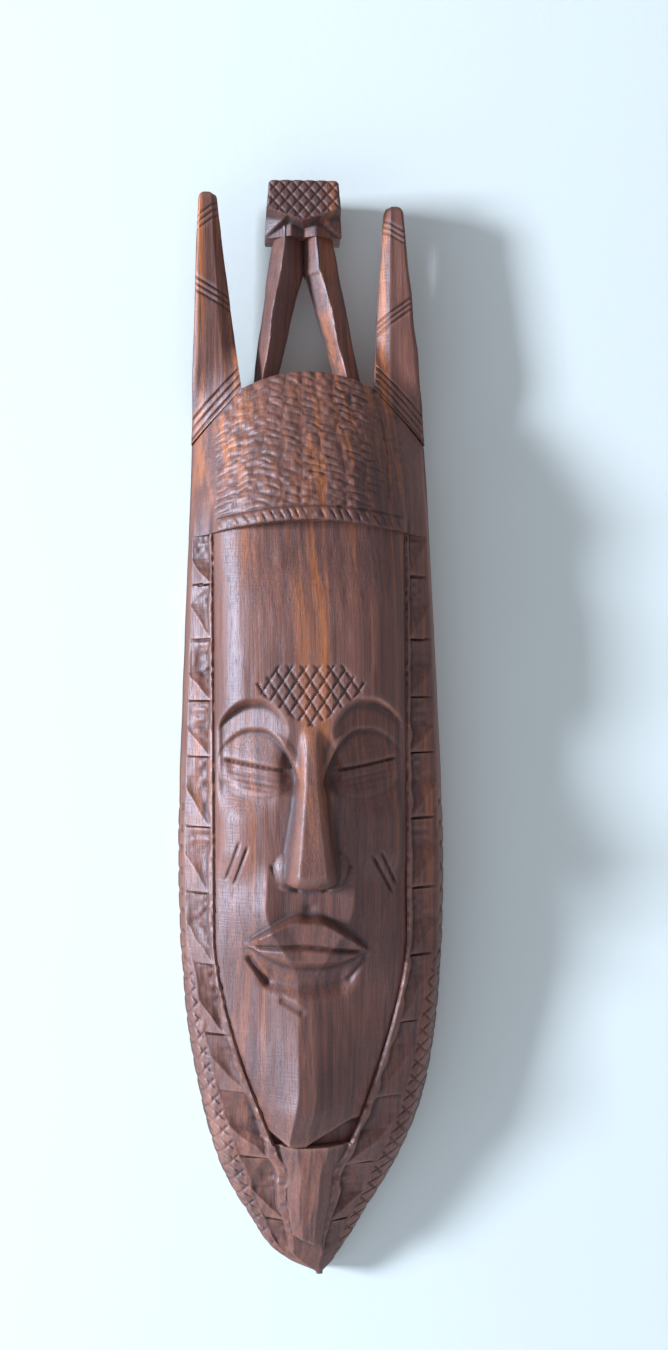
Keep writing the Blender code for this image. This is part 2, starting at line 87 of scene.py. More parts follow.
# Sizes that the boxes don't show.
HEM_ARCH = 4.5
CROWN_ARCH = 7.0
WIDEST_HALF = 60.3
CROWN_HALF = 51.5
TIP_HALF = 1.5
FACE_HALF = 42.0
CHIN_HALF = 16.5
GROOVE_FLOOR = 32.6  # depth at the foot of the face, in the groove round it
LEDGE_DEPTH = 34.0  # depth of the borders beside that groove
TIP_DEPTH = 10.0
KEEL_HALF = 10.0
RIM_SHOULDER = 0.75  # share of a border's width at which it turns over to its edge
RIM_SHOULDER_DEPTH = 25.0
RIM_EDGE_DEPTH = 12.0
COIFFURE_HEM_DEPTH = 54.0
COIFFURE_CROWN_DEPTH = 34.0
COIFFURE_EDGE_DEPTH = 13.0
HORN_SEAM_DROP = 22.0
HORN_ROOT_DEPTH = 26.0
HORN_TIP_DEPTH = 23.0
HORN_TIP_WIDTH = 8.3
HORN_BACK_RISE = 12.0
HORN_LEAN = {"left": 0.0, "right": 2.0}
LEG_WIDTH = 11.6
LEG_TOP_HALF_SPAN = 13.8
LEG_FORK_DROP = 14.5
LEG_RIDGE_DEPTH = 25.0
LEG_EDGE_DEPTH = 17.0
HOLLOW_HALF_WIDTH, HOLLOW_HALF_HEIGHT, HOLLOW_DEPTH = 34.0, 120.0, 30.0
POCKET_HALF_WIDTH, POCKET_CORNER, POCKET_DEPTH, POCKET_MARGIN = 15.0, 4.0, 9.0, 2.0

# Spacing of the ornament.
PATCH_PITCH = 4.9
PATCH_HEIGHT = 27.0
CHIP_UNIT = 30.0
NET_PITCH = 5.2
PIT_PITCH = 9.4
BRAID_WIDTH = 9.4
BRAID_NICK_PITCH = 3.6
HEM_BAND_HALF = 2.9
HEM_NICK_PITCH = 3.7
HATCH_PITCH = 3.9

# Height of relief, in millimetres, at which an edge counts as fully rubbed, or a cut as fully darkened by
# painted shade.
WEAR_HEIGHT = 0.45

# The light of the studio, in metres.
WINDOW_PLACE = (-3.25, -1.32, 0.15)
WINDOW_AIM = (0.0, 0.0, -0.12)
WINDOW_SIZE = (0.50, 0.85)
WINDOW_COLOUR = (0.80, 0.90, 1.0)
ROOM_COLOUR = (0.98, 0.97, 1.0, 1.0)
ROOM_STRENGTH = 0.35
FLOOR_LEVEL = -0.9

FACE_LENGTH = HEM_CENTRE - CHIN
HEM_SIDE = HEM_CENTRE - HEM_ARCH
HORN_ROOT = CROWN - CROWN_ARCH
WIDEST = CHIN + 0.47 * FACE_LENGTH
JAW = CHIN + 0.33 * FACE_LENGTH
CROWN_SIDE = HORN_ROOT - HORN_SEAM_DROP

# Levels of the features, as shares of the face's length.
LIP = CHIN + 0.325 * FACE_LENGTH
NOSE_BASE = CHIN + 0.42 * FACE_LENGTH
EYE = CHIN + 0.61 * FACE_LENGTH
BROW = CHIN + 0.675 * FACE_LENGTH
NOSE_TOP = CHIN + 0.69 * FACE_LENGTH
PATCH_TOP = CHIN + 0.775 * FACE_LENGTH


# ---------------------------------------------------------------- plain arithmetic on arrays


def lerp(a, b, t):
    return a + (b - a) * t


def clamp(t):
    return np.clip(t, 0.0, 1.0)


def smooth(t):
    """0 below 0, 1 above 1 and an S-curve between."""
    t = clamp(t)
    return t * t * (3 - 2 * t)


def bell(t):
    """1 at 0, falling away to nothing on both sides."""
    return np.exp(-(t**2))


def through(stations, t):
    """The smooth curve through (place, value) stations, flat at each one."""
    value = np.full_like(t, stations[0][1])
    for (t0, a), (t1, b) in zip(stations, stations[1:]):
        value = np.where(t > t0, lerp(a, b, smooth((t - t0) / (t1 - t0))), value)
    return value


def scatter(i, j, seed):
    """A fixed random share for each whole-numbered cell."""
    s = np.sin(i * 127.1 + j * 311.7 + seed * 74.7) * 43758.5453
    return s - np.floor(s)


def mottle(x, y, seed=0):
    """Soft random bumps between -1 and 1: the corner values of each unit cell, blended by S-curves."""
    i, j = np.floor(x), np.floor(y)
    fx, fy = smooth(x - i), smooth(y - j)
    bottom = lerp(scatter(i, j, seed), scatter(i + 1, j, seed), fx)
    top = lerp(scatter(i, j + 1, seed), scatter(i + 1, j + 1, seed), fx)
    return 2 * lerp(bottom, top, fy) - 1


def knife_cut(x, h, start, end, width, depth):
    """A straight knife cut from start to end: V-shaped across, and running out to nothing at both ends."""
    (x0, h0), (x1, h1) = start, end
    length = math.hypot(x1 - x0, h1 - h0)
    along = ((x - x0) * (x1 - x0) + (h - h0) * (h1 - h0)) / length**2
    across = np.abs((x - x0) * (h1 - h0) - (h - h0) * (x1 - x0)) / length
    run_out = smooth(along / 0.18) * smooth((1 - along) / 0.18)
    return depth * clamp(1 - across / (width / 2)) * run_out


def lattice(a, b, pitch, width, depth):
    """Two crossing families of V-shaped cuts, a pitch apart. a and b are distances across each family."""
    near_a = np.abs(a / pitch - np.round(a / pitch)) * pitch
    near_b = np.abs(b / pitch - np.round(b / pitch)) * pitch
    return depth * np.maximum(clamp(1 - 2 * near_a / width), clamp(1 - 2 * near_b / width))


def cross_hatch(x, h, steep, pitch, width, depth):
    """A lattice whose cuts stand at an angle in degrees from level, to both sides."""
    across, up = x * math.sin(math.radians(steep)), h * math.cos(math.radians(steep))
    return lattice(across + up, across - up, pitch, width, depth)


# ---------------------------------------------------------------- outlines


def half_width(h):
    """Half the mask's width: an ogee down to the beard's blunt tip, and a slow taper up to the horn
    tips."""
    t = clamp(1 - h / WIDEST)
    below = np.maximum(TIP_HALF, WIDEST_HALF * (1 - 0.32 * t**2 - 0.68 * t**4.5))
    below = below + 3.0 * smooth(h / 8) * smooth((32 - h) / 22)
    s = np.maximum(0.0, (h - WIDEST) / (HORN_ROOT - WIDEST))
    return np.where(h < WIDEST, below, lerp(WIDEST_HALF, CROWN_HALF, s**1.15))


def face_half_width(h):
    """Half the width of the face: parallel sides above the jaw, drawn in to a blunt chin below it."""
    t = clamp((JAW - h) / (JAW - CHIN))
    return lerp(FACE_HALF, CHIN_HALF, t**1.5)


def field_inner(h):
    """Inner side of the chip-carved field: the face's edge, and below the chin the side of the beard's
    keel."""
    keel = lerp(0.4, lerp(6.5, KEEL_HALF, smooth((h - 15) / 30)), smooth(h / 15))
    return np.where(h >= CHIN, face_half_width(h), lerp(keel, CHIN_HALF, smooth((h - CHIN + 16) / 16)))


def wander(h):
    """Sideways drift of the carving's middle: the beard bends to the left and its very tip back to the
    right, and the horns and the crest bend to the left."""
    tip = 2.6 * bell(h / 5) - 3.1 * smooth(h / 16) * smooth((92 - h) / 62)
    return tip - 2.4 * smooth((h - 345) / 135)


def by_hand(x, h):
    """Where a point of the ruled layout comes to lie on the hand-carved mask: it drifts with the carving's
    middle, and the face sits a little to the left between its borders."""
    between = 1 - clamp(np.abs(x) / half_width(h)) ** 3
    return x + wander(h) - 1.5 * between * smooth((h - 60) / 40) * smooth((360 - h) / 30)


def hem(x):
    """Height of the coiffure's lower edge: an arch that levels out at the sides of the mask."""
    r = clamp(np.abs(x) / half_width(np.array(HEM_SIDE)))
    return HEM_SIDE + HEM_ARCH * (1 - r**2) ** 2


def crown(x):
    """Height of the coiffure's upper edge: an arch between the horns, and the slanted root seams beyond
    it."""
    over = np.abs(x) - HORN_INNER_ROOT
    seam = HORN_ROOT - HORN_SEAM_DROP * over / (CROWN_HALF - HORN_INNER_ROOT)
    return np.where(over > 0, seam, HORN_ROOT + CROWN_ARCH * (1 - (x / HORN_INNER_ROOT) ** 2))


# ---------------------------------------------------------------- meshes


def rim_of(index):
    """A grid's rim, once round, anticlockwise as the viewer sees it."""
    return np.concatenate([index[0, :-1], index[:-1, -1], index[-1, :0:-1], index[:0:-1, 0]])


def back_faces(fine, coarse, step):
    """Faces of the coarse back grid. A face on the rim takes in the rim's finer points as well."""
    rows, columns = coarse.shape[0] - 1, coarse.shape[1] - 1
    middle = np.arange(1, step)
    faces = []
    for i in (np.array([0]), np.arange(1, rows - 1), np.array([rows - 1])):
        for j in (np.array([0]), np.arange(1, columns - 1), np.array([columns - 1])):
            a, b = (grid.ravel() for grid in np.meshgrid(i, j, indexing="ij"))
            sides = [coarse[a, b]]
            if j[0] == 0:
                sides += [fine[a * step + k, 0] for k in middle]
            sides.append(coarse[a + 1, b])
            if i[0] == rows - 1:
                sides += [fine[-1, b * step + k] for k in middle]
            sides.append(coarse[a + 1, b + 1])
            if j[0] == columns - 1:
                sides += [fine[(a + 1) * step - k, -1] for k in middle]
            sides.append(coarse[a, b + 1])
            if i[0] == 0:
                sides += [fine[0, (b + 1) * step - k] for k in middle]
            faces.append(np.stack(sides, axis=1))
    return faces


def object_of(name, points, faces, looks, crease=55.0, worn=None, cut_shade=None):
    """Makes the mesh in metres from points (x, depth, height), links its object, and keeps its wear and
    its painted cut shade as attributes."""
    mesh = bpy.data.meshes.new(name)
    placed = np.stack([points[:, 0], -points[:, 1], points[:, 2] - HANG], axis=1) / 1000
    corners = np.concatenate([f.ravel() for f in faces]).astype(np.int32)
    counts = np.concatenate([np.full(len(f), f.shape[1]) for f in faces])
    mesh.vertices.add(len(placed))
    mesh.vertices.foreach_set("co", placed.astype(np.float32).ravel())
    mesh.loops.add(len(corners))
    mesh.loops.foreach_set("vertex_index", corners)
    mesh.polygons.add(len(counts))
    mesh.polygons.foreach_set("loop_start", (np.cumsum(counts) - counts).astype(np.int32))
    mesh.update(calc_edges=True)
    if mesh.validate():
        raise RuntimeError(f"{name}: its faces aren't sound")
    # The second attribute marks the cuts, which the wood darkens with painted shade.
    for label, values in (("worn", worn), ("cut_shade", cut_shade)):
        values = np.zeros(len(placed)) if values is None else values
        mesh.attributes.new(label, "FLOAT", "POINT").data.foreach_set("value", values.astype(np.float32))
    mesh.shade_smooth()
    mesh.set_sharp_from_angle(angle=math.radians(crease))
    mesh.materials.append(looks)
    obj = bpy.data.objects.new(name, mesh)
    bpy.context.scene.collection.objects.link(obj)
    return obj


def blurred(field, times):
    """The field averaged with its neighbours along both ways of the grid, a number of times."""
    for _ in range(times):
        padded = np.pad(field, 1, mode="edge")
        field = (padded[:-2, 1:-1] + padded[2:, 1:-1] + padded[1:-1, :-2] + padded[1:-1, 2:]) / 4
    return field


def stretched(edge):
    """Fills a grid between its four sides: the blend of the lower and upper sides, plus the blend of the
    left and right sides, less the blend of the four corners."""
    v, u = (np.linspace(0, 1, n) for n in edge.shape[:2])
    u, v = u[None, :, None], v[:, None, None]
    corners = lerp(lerp(edge[0, 0], edge[0, -1], u), lerp(edge[-1, 0], edge[-1, -1], u), v)
    return lerp(edge[:1], edge[-1:], v) + lerp(edge[:, :1], edge[:, -1:], u) - corners


def carving(name, front, back, looks, step=1, wall_rings=8, inset=None):
    """A closed carved piece from its front grid.

    front holds (x, depth, height) for each row going up and each column going right. A wall of rings runs
    from its rim to back(x, h), drawn in along the rim's own normal by inset(x, h, share of the way back).
    The back is a grid of one point in every step, stretched between the sides of the last ring.
    """
    rows, columns = front.shape[:2]
    index = np.arange(rows * columns).reshape(rows, columns)
    loop = rim_of(index)
    rim = front.reshape(-1, 3)[loop]
    run = np.roll(rim, -1, axis=0) - np.roll(rim, 1, axis=0)
    normal = np.stack([-run[:, 2], run[:, 0]], axis=1)
    normal /= np.maximum(np.linalg.norm(normal, axis=1, keepdims=True), 1e-9)
    share = np.arange(1, wall_rings + 1)[:, None] / wall_rings
    x, h = rim[None, :, 0], rim[None, :, 2]
    pull = 0 * (x + share) if inset is None else inset(x + 0 * share, h + 0 * share, share)
    wall_x = x + pull * normal[None, :, 0]
    wall_h = h + pull * normal[None, :, 1]
    wall_depth = lerp(rim[None, :, 1], back(x, h), share)
    walls = np.stack([wall_x, wall_depth, wall_h], axis=2).reshape(-1, 3)

    rings = np.concatenate([loop, rows * columns + np.arange(wall_rings * len(loop))])
    rings = rings.reshape(wall_rings + 1, len(loop))
    after = np.roll(rings, -1, axis=1)
    wall_faces = np.stack([rings[:-1], rings[1:], after[1:], after[:-1]], axis=2).reshape(-1, 4)

    fine = np.full((rows, columns), -1)
    fine.flat[loop] = rings[-1]
    coarse = fine[::step, ::step].copy()
    inside = coarse < 0
    edge = np.zeros((rows, columns, 2))
    edge.reshape(-1, 2)[loop] = np.stack([wall_x[-1], wall_h[-1]], axis=1)
    picked = stretched(edge)[::step, ::step][inside]
    coarse[inside] = rows * columns + len(walls) + np.arange(inside.sum())
    back_points = np.stack([picked[:, 0], back(picked[:, 0], picked[:, 1]), picked[:, 1]], axis=1)

    front_faces = np.stack([index[:-1, :-1], index[:-1, 1:], index[1:, 1:], index[1:, :-1]], axis=2)
    points = np.concatenate([front.reshape(-1, 3), walls, back_points])
    points[:, 0] = by_hand(points[:, 0], points[:, 2])
    above = front[..., 1] - blurred(front[..., 1], 8)
    worn = np.zeros(len(points))
    # Points above the blurred surface count as rubbed wear; points below it mark the cuts that the wood
    # darkens with painted shade.
    cut_shade = np.zeros(len(points))
    worn[: rows * columns] = clamp(above / WEAR_HEIGHT).ravel()
    cut_shade[: rows * columns] = clamp(-above / WEAR_HEIGHT).ravel()
    faces = [front_faces.reshape(-1, 4), wall_faces] + back_faces(fine, coarse, step)
    return object_of(name, points, faces, looks, worn=worn, cut_shade=cut_shade)


def grid_of(rows, columns, step=1):
    """u across and v up, each from 0 to 1, with one more point each way than a whole number of steps."""
    rows, columns = (step * math.ceil(n / step) for n in (rows, columns))
    return np.meshgrid(np.linspace(0, 1, columns + 1), np.linspace(0, 1, rows + 1))


def level(depth):
    """A back that is flat at one depth."""
    return lambda x, h: depth + 0.0 * x


def hewn(x, h, share):
    """Draws the outer walls in by long shallow knife flats, and rounds their arris at the back."""
    outer_side = smooth((np.abs(x) - half_width(h) + 1.0) / 0.8)
    flats = 0.35 + 0.35 * mottle(h / 9, share * 3.1 + np.sign(x) * 7, 3)
    arris = 0.9 * clamp((share - 0.88) / 0.12) ** 2
    return outer_side * smooth(share * 5) * (flats + arris)


def dress(obj, node, body="mask"):
    """Hangs the piece on its body's empty, and hides the imported part that it stands for."""
    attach(obj, body)
    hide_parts(node)


# ---------------------------------------------------------------- face


def lean(h):
    """Sideways wander of the mouth and chin, which the maker's hand set a little to the left of the
    nose."""
    return -2.0 * smooth((190 - h) / 40) - 4.5 * smooth((CHIN + 30 - h) / 30)


def dome(x, h):
    """The plain face: a section on the centre line's profile, nearly flat and then rounded over to the
    edge. From the nose's base down it gives way to two slanting planes beside a flat one, which narrows
    to the chin and ends in a blunt V."""
    level = (h - CHIN) / FACE_LENGTH
    profile = (
        (0.0, 41.0), (0.07, 47.0), (0.26, 44.5), (0.33, 46.5), (0.45, 46.5),
        (0.60, 48.5), (0.70, 51.0), (0.84, 51.0), (1.0, 46.0),
    )
    centre = through(profile, level)
    edge = face_half_width(h)
    r = clamp(np.abs(x) / edge)
    rounded = lerp(centre, GROOVE_FLOOR, 0.34 * r**2 + 0.66 * r**8)
    middle, flat = lean(h), lerp(4.0, 19.0, smooth((h - LIP + 16) / 34))
    left = (x + edge) / (edge + middle - flat)
    right = (edge - x) / (edge - middle - flat)
    planes = lerp(GROOVE_FLOOR + 0.6, centre, clamp(np.minimum(left, right)) ** 0.92)
    planes -= 0.16 * np.clip(x - middle + flat, 0, 8)
    planes -= 0.6 * (1 - smooth((edge - np.abs(x)) / 1.8))
    depth = lerp(rounded, planes, smooth((NOSE_BASE + 16 - h) / 16))
    jaw_line = CHIN + 0.8 + 0.55 * np.maximum(np.abs(x - middle) - 3, 0)
    cut_away = smooth((jaw_line - h) / 1.0) * smooth((CHIN + 12 - h) / 4)
    return lerp(depth, np.minimum(depth, 33.0 - 0.25 * np.abs(x)), cut_away)


def sockets(x, h, plain):
    """Eye sockets cut into the plain face: a polished plane that leaves the forehead and slants outward
    along an arched brow, a steep step under it, and a floor that comes up again at an arc under the
    lids."""
    side = np.abs(x)
    brow = BROW - 11 * clamp((side - 25) / 16) ** 2 - 22 * clamp((22 - side) / 17) ** 2.2
    under = EYE - 13 + 11 * clamp((side - 18) / 23) ** 2
    fade = smooth((43 - side) / 5)
    bevel = smooth((brow + 13 - h) / 5) * smooth((h - EYE + 24) / 18)
    step = smooth((brow - h) / 2.6) * smooth((h - under) / 9) * smooth((41 - side) / 8)
    inner_corner = 2.2 * np.exp(-(((side - 10) / 4) ** 2) - (((h - EYE) / 8) ** 2))
    plane = lerp(33.2, 51.2, clamp((43 - side) / 36))
    floor_drop = lerp(4.6, 1.6, clamp((side - 8) / 30))
    return fade * (np.maximum(plain - plane, 0) * bevel + floor_drop * step + inner_corner)


def lids(x, h):
    """Closed eyes: a low almond swelling, with an upper lid that laps over a slit rising to its outer
    end, and fine creases under it."""
    side = np.abs(x)
    over = h - EYE
    swell = clamp(1 - ((side - 22.5) / 18) ** 2 - (over / np.where(over > 0, 17.0, 13.0)) ** 2)
    slit = EYE - 0.8 + 4.6 * clamp((side - 12) / 26) ** 1.2
    ends = smooth((38.5 - side) / 4) * smooth((side - 10) / 4)
    lap = 0.9 * smooth((h - slit) / 0.7) * bell((h - slit) / 7)
    creases = 0.18 * np.sin((h - 0.18 * side) * 2.4) * smooth((slit - h) / 2) * swell
    return 2.7 * swell**0.8 + creases + ends * (lap - 1.5 * bell((h - slit) / 0.8))


def with_nose(x, h, under):
    """Raises the nose: a long wedge with a flat front and flat flanks that widens and rises to the tip, low
    wings beside it, and a crease round each wing."""
    base, top = NOSE_BASE, NOSE_TOP
    down = (top - h) / (top - base)
    half = lerp(5.5, 15.0, clamp(down) ** 1.6)
    side = np.abs(x)
    flat = lerp(0.22, 0.44, clamp(down))
    section = 1 - smooth((side / half - flat) / (1 - flat))
    blunt = np.sqrt(clamp(1 - clamp((base + 8 + 0.02 * side**2 - h) / 8.5) ** 2))
    ridge = lerp(50.5, NOSE_DEPTH - 0.4, clamp(down) ** 1.15)
    depth = lerp(under, np.maximum(under, ridge), section * blunt * smooth(down * 9))
    wing = clamp(1 - ((side - 10.0) / 6.5) ** 2 - ((h - base - 7) / 9.0) ** 2)
    depth = np.maximum(depth, under + 3.2 * wing)
    depth -= knife_cut(side, h, (17.4, base + 11), (13.5, base + 0.5), 2.4, 0.8)
    depth -= knife_cut(side, h, (14.6, base + 2.0), (4.0, base - 1.8), 2.0, 0.9)
    return depth


def mouth(x, h):
    """Closed lips: the upper one rises at a crisp outer edge and slopes in to the line between them, and
    the lower one is a narrow plane. A bevel falls away under it. A gouge leaves each corner, a nick lies
    under the bevel, and a short groove runs up from the upper lip."""
    x = x - lean(h)
    line = LIP - 0.07 * x + 0.7 * np.cos(np.clip(x, -26, 26) * math.pi / 26)
    top = line + 13.0 * clamp(1 - (np.abs(x) / 27) ** 1.7) - 1.4 * bell(x / 4)
    bottom = line - 6.4 * clamp(1 - (x / 25) ** 2)
    inside = smooth((27.5 - np.abs(x)) / 6)
    upper = (h - line) / np.maximum(top - line, 0.8)
    lower = (line - h) / np.maximum(line - bottom, 0.8)
    rise = lerp(
        lerp(5.6, 4.8, clamp(lower)) * (1 - smooth((lower - 0.85) / 0.9)),
        lerp(4.0, 6.4, clamp(upper) ** 0.8) * (1 - smooth((upper - 0.86) / 0.34)),
        smooth((h - line) / 2.0 + 0.5),
    )
    rise -= 1.7 * bell(h - line) * inside
    below = bottom - h
    bevel = 3.0 * clamp(below / 11) * smooth((18 - below) / 7) * smooth((23 - np.abs(x)) / 9)
    gouge = knife_cut(x, h, (-26.5, LIP - 3), (-15.5, LIP - 18), 4.4, 2.2)
    gouge = gouge + knife_cut(x, h, (26.5, LIP - 4), (17.0, LIP - 17), 4.0, 1.2)
    nick = knife_cut(x, h, (-12.5, LIP - 22), (-0.5, LIP - 29), 4.5, 1.1)
    philtrum = 1.0 * bell(x / 2.4) * smooth((h - LIP - 13) / 4) * smooth((NOSE_BASE - 5 - h) / 4)
    return rise * inside - bevel - gouge - nick - philtrum


def face_marks(x, h):
    """Everything cut into the face: the cross-hatched patch on the brow, two slashes on each cheek, and
    knife flats."""
    patch = cross_hatch(x, h, 57, PATCH_PITCH, 1.6, 1.0)
    tip = PATCH_TOP - PATCH_HEIGHT
    half = 25 * clamp((h - tip) / 17) ** 0.8 * lerp(1, 0.62, smooth((h - PATCH_TOP + 10) / 8))
    patch = patch * smooth((half - np.abs(x)) / 1.5) * smooth((PATCH_TOP - h) / 1.5)
    slashes = (
        knife_cut(x, h, (-37.5, NOSE_BASE + 2), (-30.5, NOSE_BASE + 21), 1.7, 1.0)
        + knife_cut(x, h, (-34.0, NOSE_BASE), (-27.0, NOSE_BASE + 19), 1.7, 1.2)
        + knife_cut(x, h, (25.5, NOSE_BASE + 15), (36.0, NOSE_BASE - 5), 2.0, 1.6)
        + knife_cut(x, h, (29.5, NOSE_BASE + 16), (37.5, NOSE_BASE - 1), 2.0, 1.6)
    )
    flats = 0.16 * mottle(x / 6, h / 17, 11) + 0.10 * mottle(x / 2.6, h / 9, 12)
    return patch + slashes - flats


def face_depth(x, h):
    """The whole face: the plain dome less its sockets, with lids, nose, lips and every cut."""
    plain = dome(x, h)
    depth = plain - sockets(x, h, plain) + lids(x, h)
    depth = with_nose(x, h, depth)
    inward = smooth((face_half_width(h) - np.abs(x)) / 2.5)
    return depth + inward * (mouth(x, h) - face_marks(x, h))


def face_front(grain):
    """The face's grid: rows that follow the hem towards the top, and columns that crowd to the steep
    sides."""
    u, v = grid_of(FACE_LENGTH / grain, 2 * FACE_HALF / grain, 4)
    across = lerp(2 * u - 1, np.sin((u - 0.5) * math.pi), 0.35)
    edge_top = hem(np.array(FACE_HALF))
    edge = lerp(CHIN, edge_top, v)
    x = across * face_half_width(edge)
    h = edge + (hem(x) - edge_top) * smooth(v)
    return np.stack([x, face_depth(x, h), h], axis=2)


def face_back(x, h):
    """The back of the face: flat, with a hollow like a boat's, scooped out in long overlapping gouge
    strokes."""
    middle = CHIN + FACE_LENGTH / 2
    ellipse = clamp(1 - (x / HOLLOW_HALF_WIDTH) ** 2 - ((h - middle) / HOLLOW_HALF_HEIGHT) ** 2)
    strokes = 0.9 * np.abs(np.sin(x / 3.1 + 1.2 * mottle(x / 15, h / 40, 5)))
    return np.where(ellipse > 0, HOLLOW_DEPTH * np.sqrt(ellipse) - strokes * smooth(ellipse * 9), 0.0)


# ---------------------------------------------------------------- borders and beard


def along_edge(h):
    """Distance along the mask's outline from the beard's tip to a height."""
    stations = np.linspace(0, HEM_CENTRE, 700)
    run = np.hypot(np.diff(stations), np.diff(half_width(stations)))
    return np.interp(h, stations, np.concatenate([[0], np.cumsum(run)]))


def chips(q, h, side):
    """Depth of the chip-carved triangles, where q is the share of the way from a border's inner side.

    Each unit is a little under or over 30 mm tall, and less towards the top. It is cut down to a rough
    trough that deepens towards the face. Only a right triangle in its lower part is left standing, with an
    upright outer side, a level base and a slanting inner side.
    """
    turn = (h - 26) / CHIP_UNIT + 0.5 * clamp((h - 240) / 80) ** 1.5 + 0.13 * mottle(h / 23, side, 9)
    unit = np.ceil(turn)
    b = unit - turn
    vary = scatter(unit, side, 4)
    inside, outside = 0.14, lerp(0.60, 0.82, smooth((h - 130) / 40))
    reach = outside - inside
    peak = 0.42 + 0.24 * (vary - 0.5)
    q = q + 0.05 * mottle(h / 6, 4 * q + 9 * side, 10)
    bound = outside - reach * clamp((b - peak) / (0.97 - peak)) * (b < 0.97)
    trough = 4.6 * clamp((bound - q) / reach) ** 0.8 * smooth((q - inside + 0.02) / 0.06)
    trough = trough * lerp(0.62, 1.0, clamp(b / peak))
    facet = 0.5 * clamp((q - bound) / reach) * (b > peak) * smooth((outside - q) / 0.03)
    rough = 0.7 * mottle(h / 2.2, 6 * q, 14) * clamp((bound - q) / reach)
    return (0.75 + 0.5 * vary) * np.where(q < bound, trough + rough, facet)


def ledge_depth(h):
    """Depth of the ledge beside the face, which falls along the beard's middle to the tip."""
    return lerp(TIP_DEPTH, LEDGE_DEPTH, clamp(h / CHIN) ** 0.7)


def rim_section(q, root, shoulder, edge):
    """A border's plain section: straight from its root to a shoulder, then rounded over to its outer
    edge."""
    over = clamp((q - RIM_SHOULDER) / (1 - RIM_SHOULDER)) ** 1.6
    return np.where(q < RIM_SHOULDER, lerp(root, shoulder, q / RIM_SHOULDER), lerp(shoulder, edge, over))


def rim_depth(x, h):
    """Depth of the borders and the beard, one carved field on the plain section, with chip-carved
    triangles, a net of crossed cuts along the lower edge and a row of pits along the upper one."""
    side = np.abs(x)
    inner, outer = field_inner(h), half_width(h)
    q = clamp((side - inner) / np.maximum(outer - inner, 0.5))
    drop = clamp(h / CHIN)
    root = ledge_depth(h)
    depth = rim_section(q, root, lerp(9.5, RIM_SHOULDER_DEPTH, drop), lerp(9.0, RIM_EDGE_DEPTH, drop))
    room = smooth((h - 4) / 18)
    depth -= room * chips(q, h, np.sign(x))

    run, inward = along_edge(h), (outer - side) * lerp(0.75, 1.0, smooth((h - 20) / 90))
    strip = lattice(run * 0.72 + inward * 0.72, run * 0.72 - inward * 0.72, NET_PITCH, 1.3, 0.9)
    net = smooth((q - lerp(0.6, 0.8, smooth((h - 130) / 30))) / 0.05) * smooth((162 - h) / 12) * room
    depth -= strip * net
    number = np.floor(run / PIT_PITCH)
    pit = run / PIT_PITCH - number - 0.5 + 0.2 * (scatter(number, np.sign(x), 8) - 0.5)
    pits = clamp(1 - ((inward - 2.4) / 1.1) ** 2 - (pit * PIT_PITCH / 2.2) ** 2) ** 0.7
    depth -= 1.8 * pits * smooth((228 - h) / 14) * smooth((h - 120) / 30)

    groove = (root - GROOVE_FLOOR) * (1 - smooth((side - inner) / 1.3)) * (h >= CHIN)
    flats = 0.25 * mottle(side / 4, h / 11, 21) + 0.12 * mottle(side / 1.7, h / 5, 22)
    depth += flats * smooth((side - inner) / 3) - groove
    return np.where((h < CHIN) & (side < inner), keel_depth(x, h), depth)


def keel_depth(x, h):
    """The beard's keel: a block with a flat front and two bevelled sides, ending in a slanting lower
    edge over the plain ridge of the tip."""
    side, inner = np.abs(x), field_inner(h)
    end = 19.0 - 0.5 * x
    raised = smooth((h - end) / 1.2) * smooth((inner - side) / 1.0)
    bevel = 0.62 * np.maximum(side - 0.42 * inner, 0)
    grain = 0.12 * mottle(x / 1.1, h / 14, 31) + 0.3 * mottle(x / 5, h / 16, 32)
    return ledge_depth(h) + raised * (3.8 - bevel + grain)


def border_front(sign, grain):
    """One border's grid, from the face's edge out to the mask's outline."""
    edge_top = hem(np.array(FACE_HALF))
    u, v = grid_of((edge_top - CHIN) / grain, 21 / grain, 4)
    edge = lerp(CHIN, edge_top, v)
    q = u if sign > 0 else 1 - u
    x = sign * lerp(face_half_width(edge), half_width(edge) - nicked(edge), q)
    h = edge + (hem(x) - edge_top) * smooth(4 * v - 3)
    return np.stack([x, rim_depth(x, h), h], axis=2)


def nicked(h):
    """How far the outline is drawn in: a small nick at each pit, and the slow waver of a hand-cut edge."""
    run = along_edge(h)
    pit = run / PIT_PITCH - np.round(run / PIT_PITCH - 0.5) - 0.5
    nick = 0.55 * bell(pit * PIT_PITCH / 1.3) * smooth((226 - h) / 20)
    return smooth(h / 6) * (nick + 0.25 + 0.25 * mottle(run / 13, 0 * run, 41))


def beard_front(grain):
    """The beard's grid, as wide as the mask at every height."""
    u, v = grid_of(CHIN / grain, 2 * float(half_width(np.array(CHIN))) / grain, 2)
    h = CHIN * v
    x = (2 * u - 1) * (half_width(h) - nicked(h))
    return np.stack([x, rim_depth(x, h), h], axis=2)


# ---------------------------------------------------------------- coiffure


def coiffure_dome(x, h):
    """The plain coiffure: it falls back from the hem to the crown and rounds off to the sides. Beyond
    the face its lower part runs into the slope of the borders without a step."""
    up = clamp((h - hem(x)) / (crown(x) - hem(x)))
    centre = lerp(COIFFURE_HEM_DEPTH, COIFFURE_CROWN_DEPTH, up**1.4)
    r = clamp(np.abs(x) / half_width(h))
    depth = lerp(COIFFURE_EDGE_DEPTH, centre, (1 - r**2.6) ** 0.75)
    q = (np.abs(x) - FACE_HALF) / (half_width(h) - FACE_HALF)
    slope = rim_section(q, LEDGE_DEPTH, RIM_SHOULDER_DEPTH, RIM_EDGE_DEPTH)
    return lerp(depth, slope, smooth((q + 0.05) / 0.2) * (1 - smooth((h - hem(x)) / 24)))


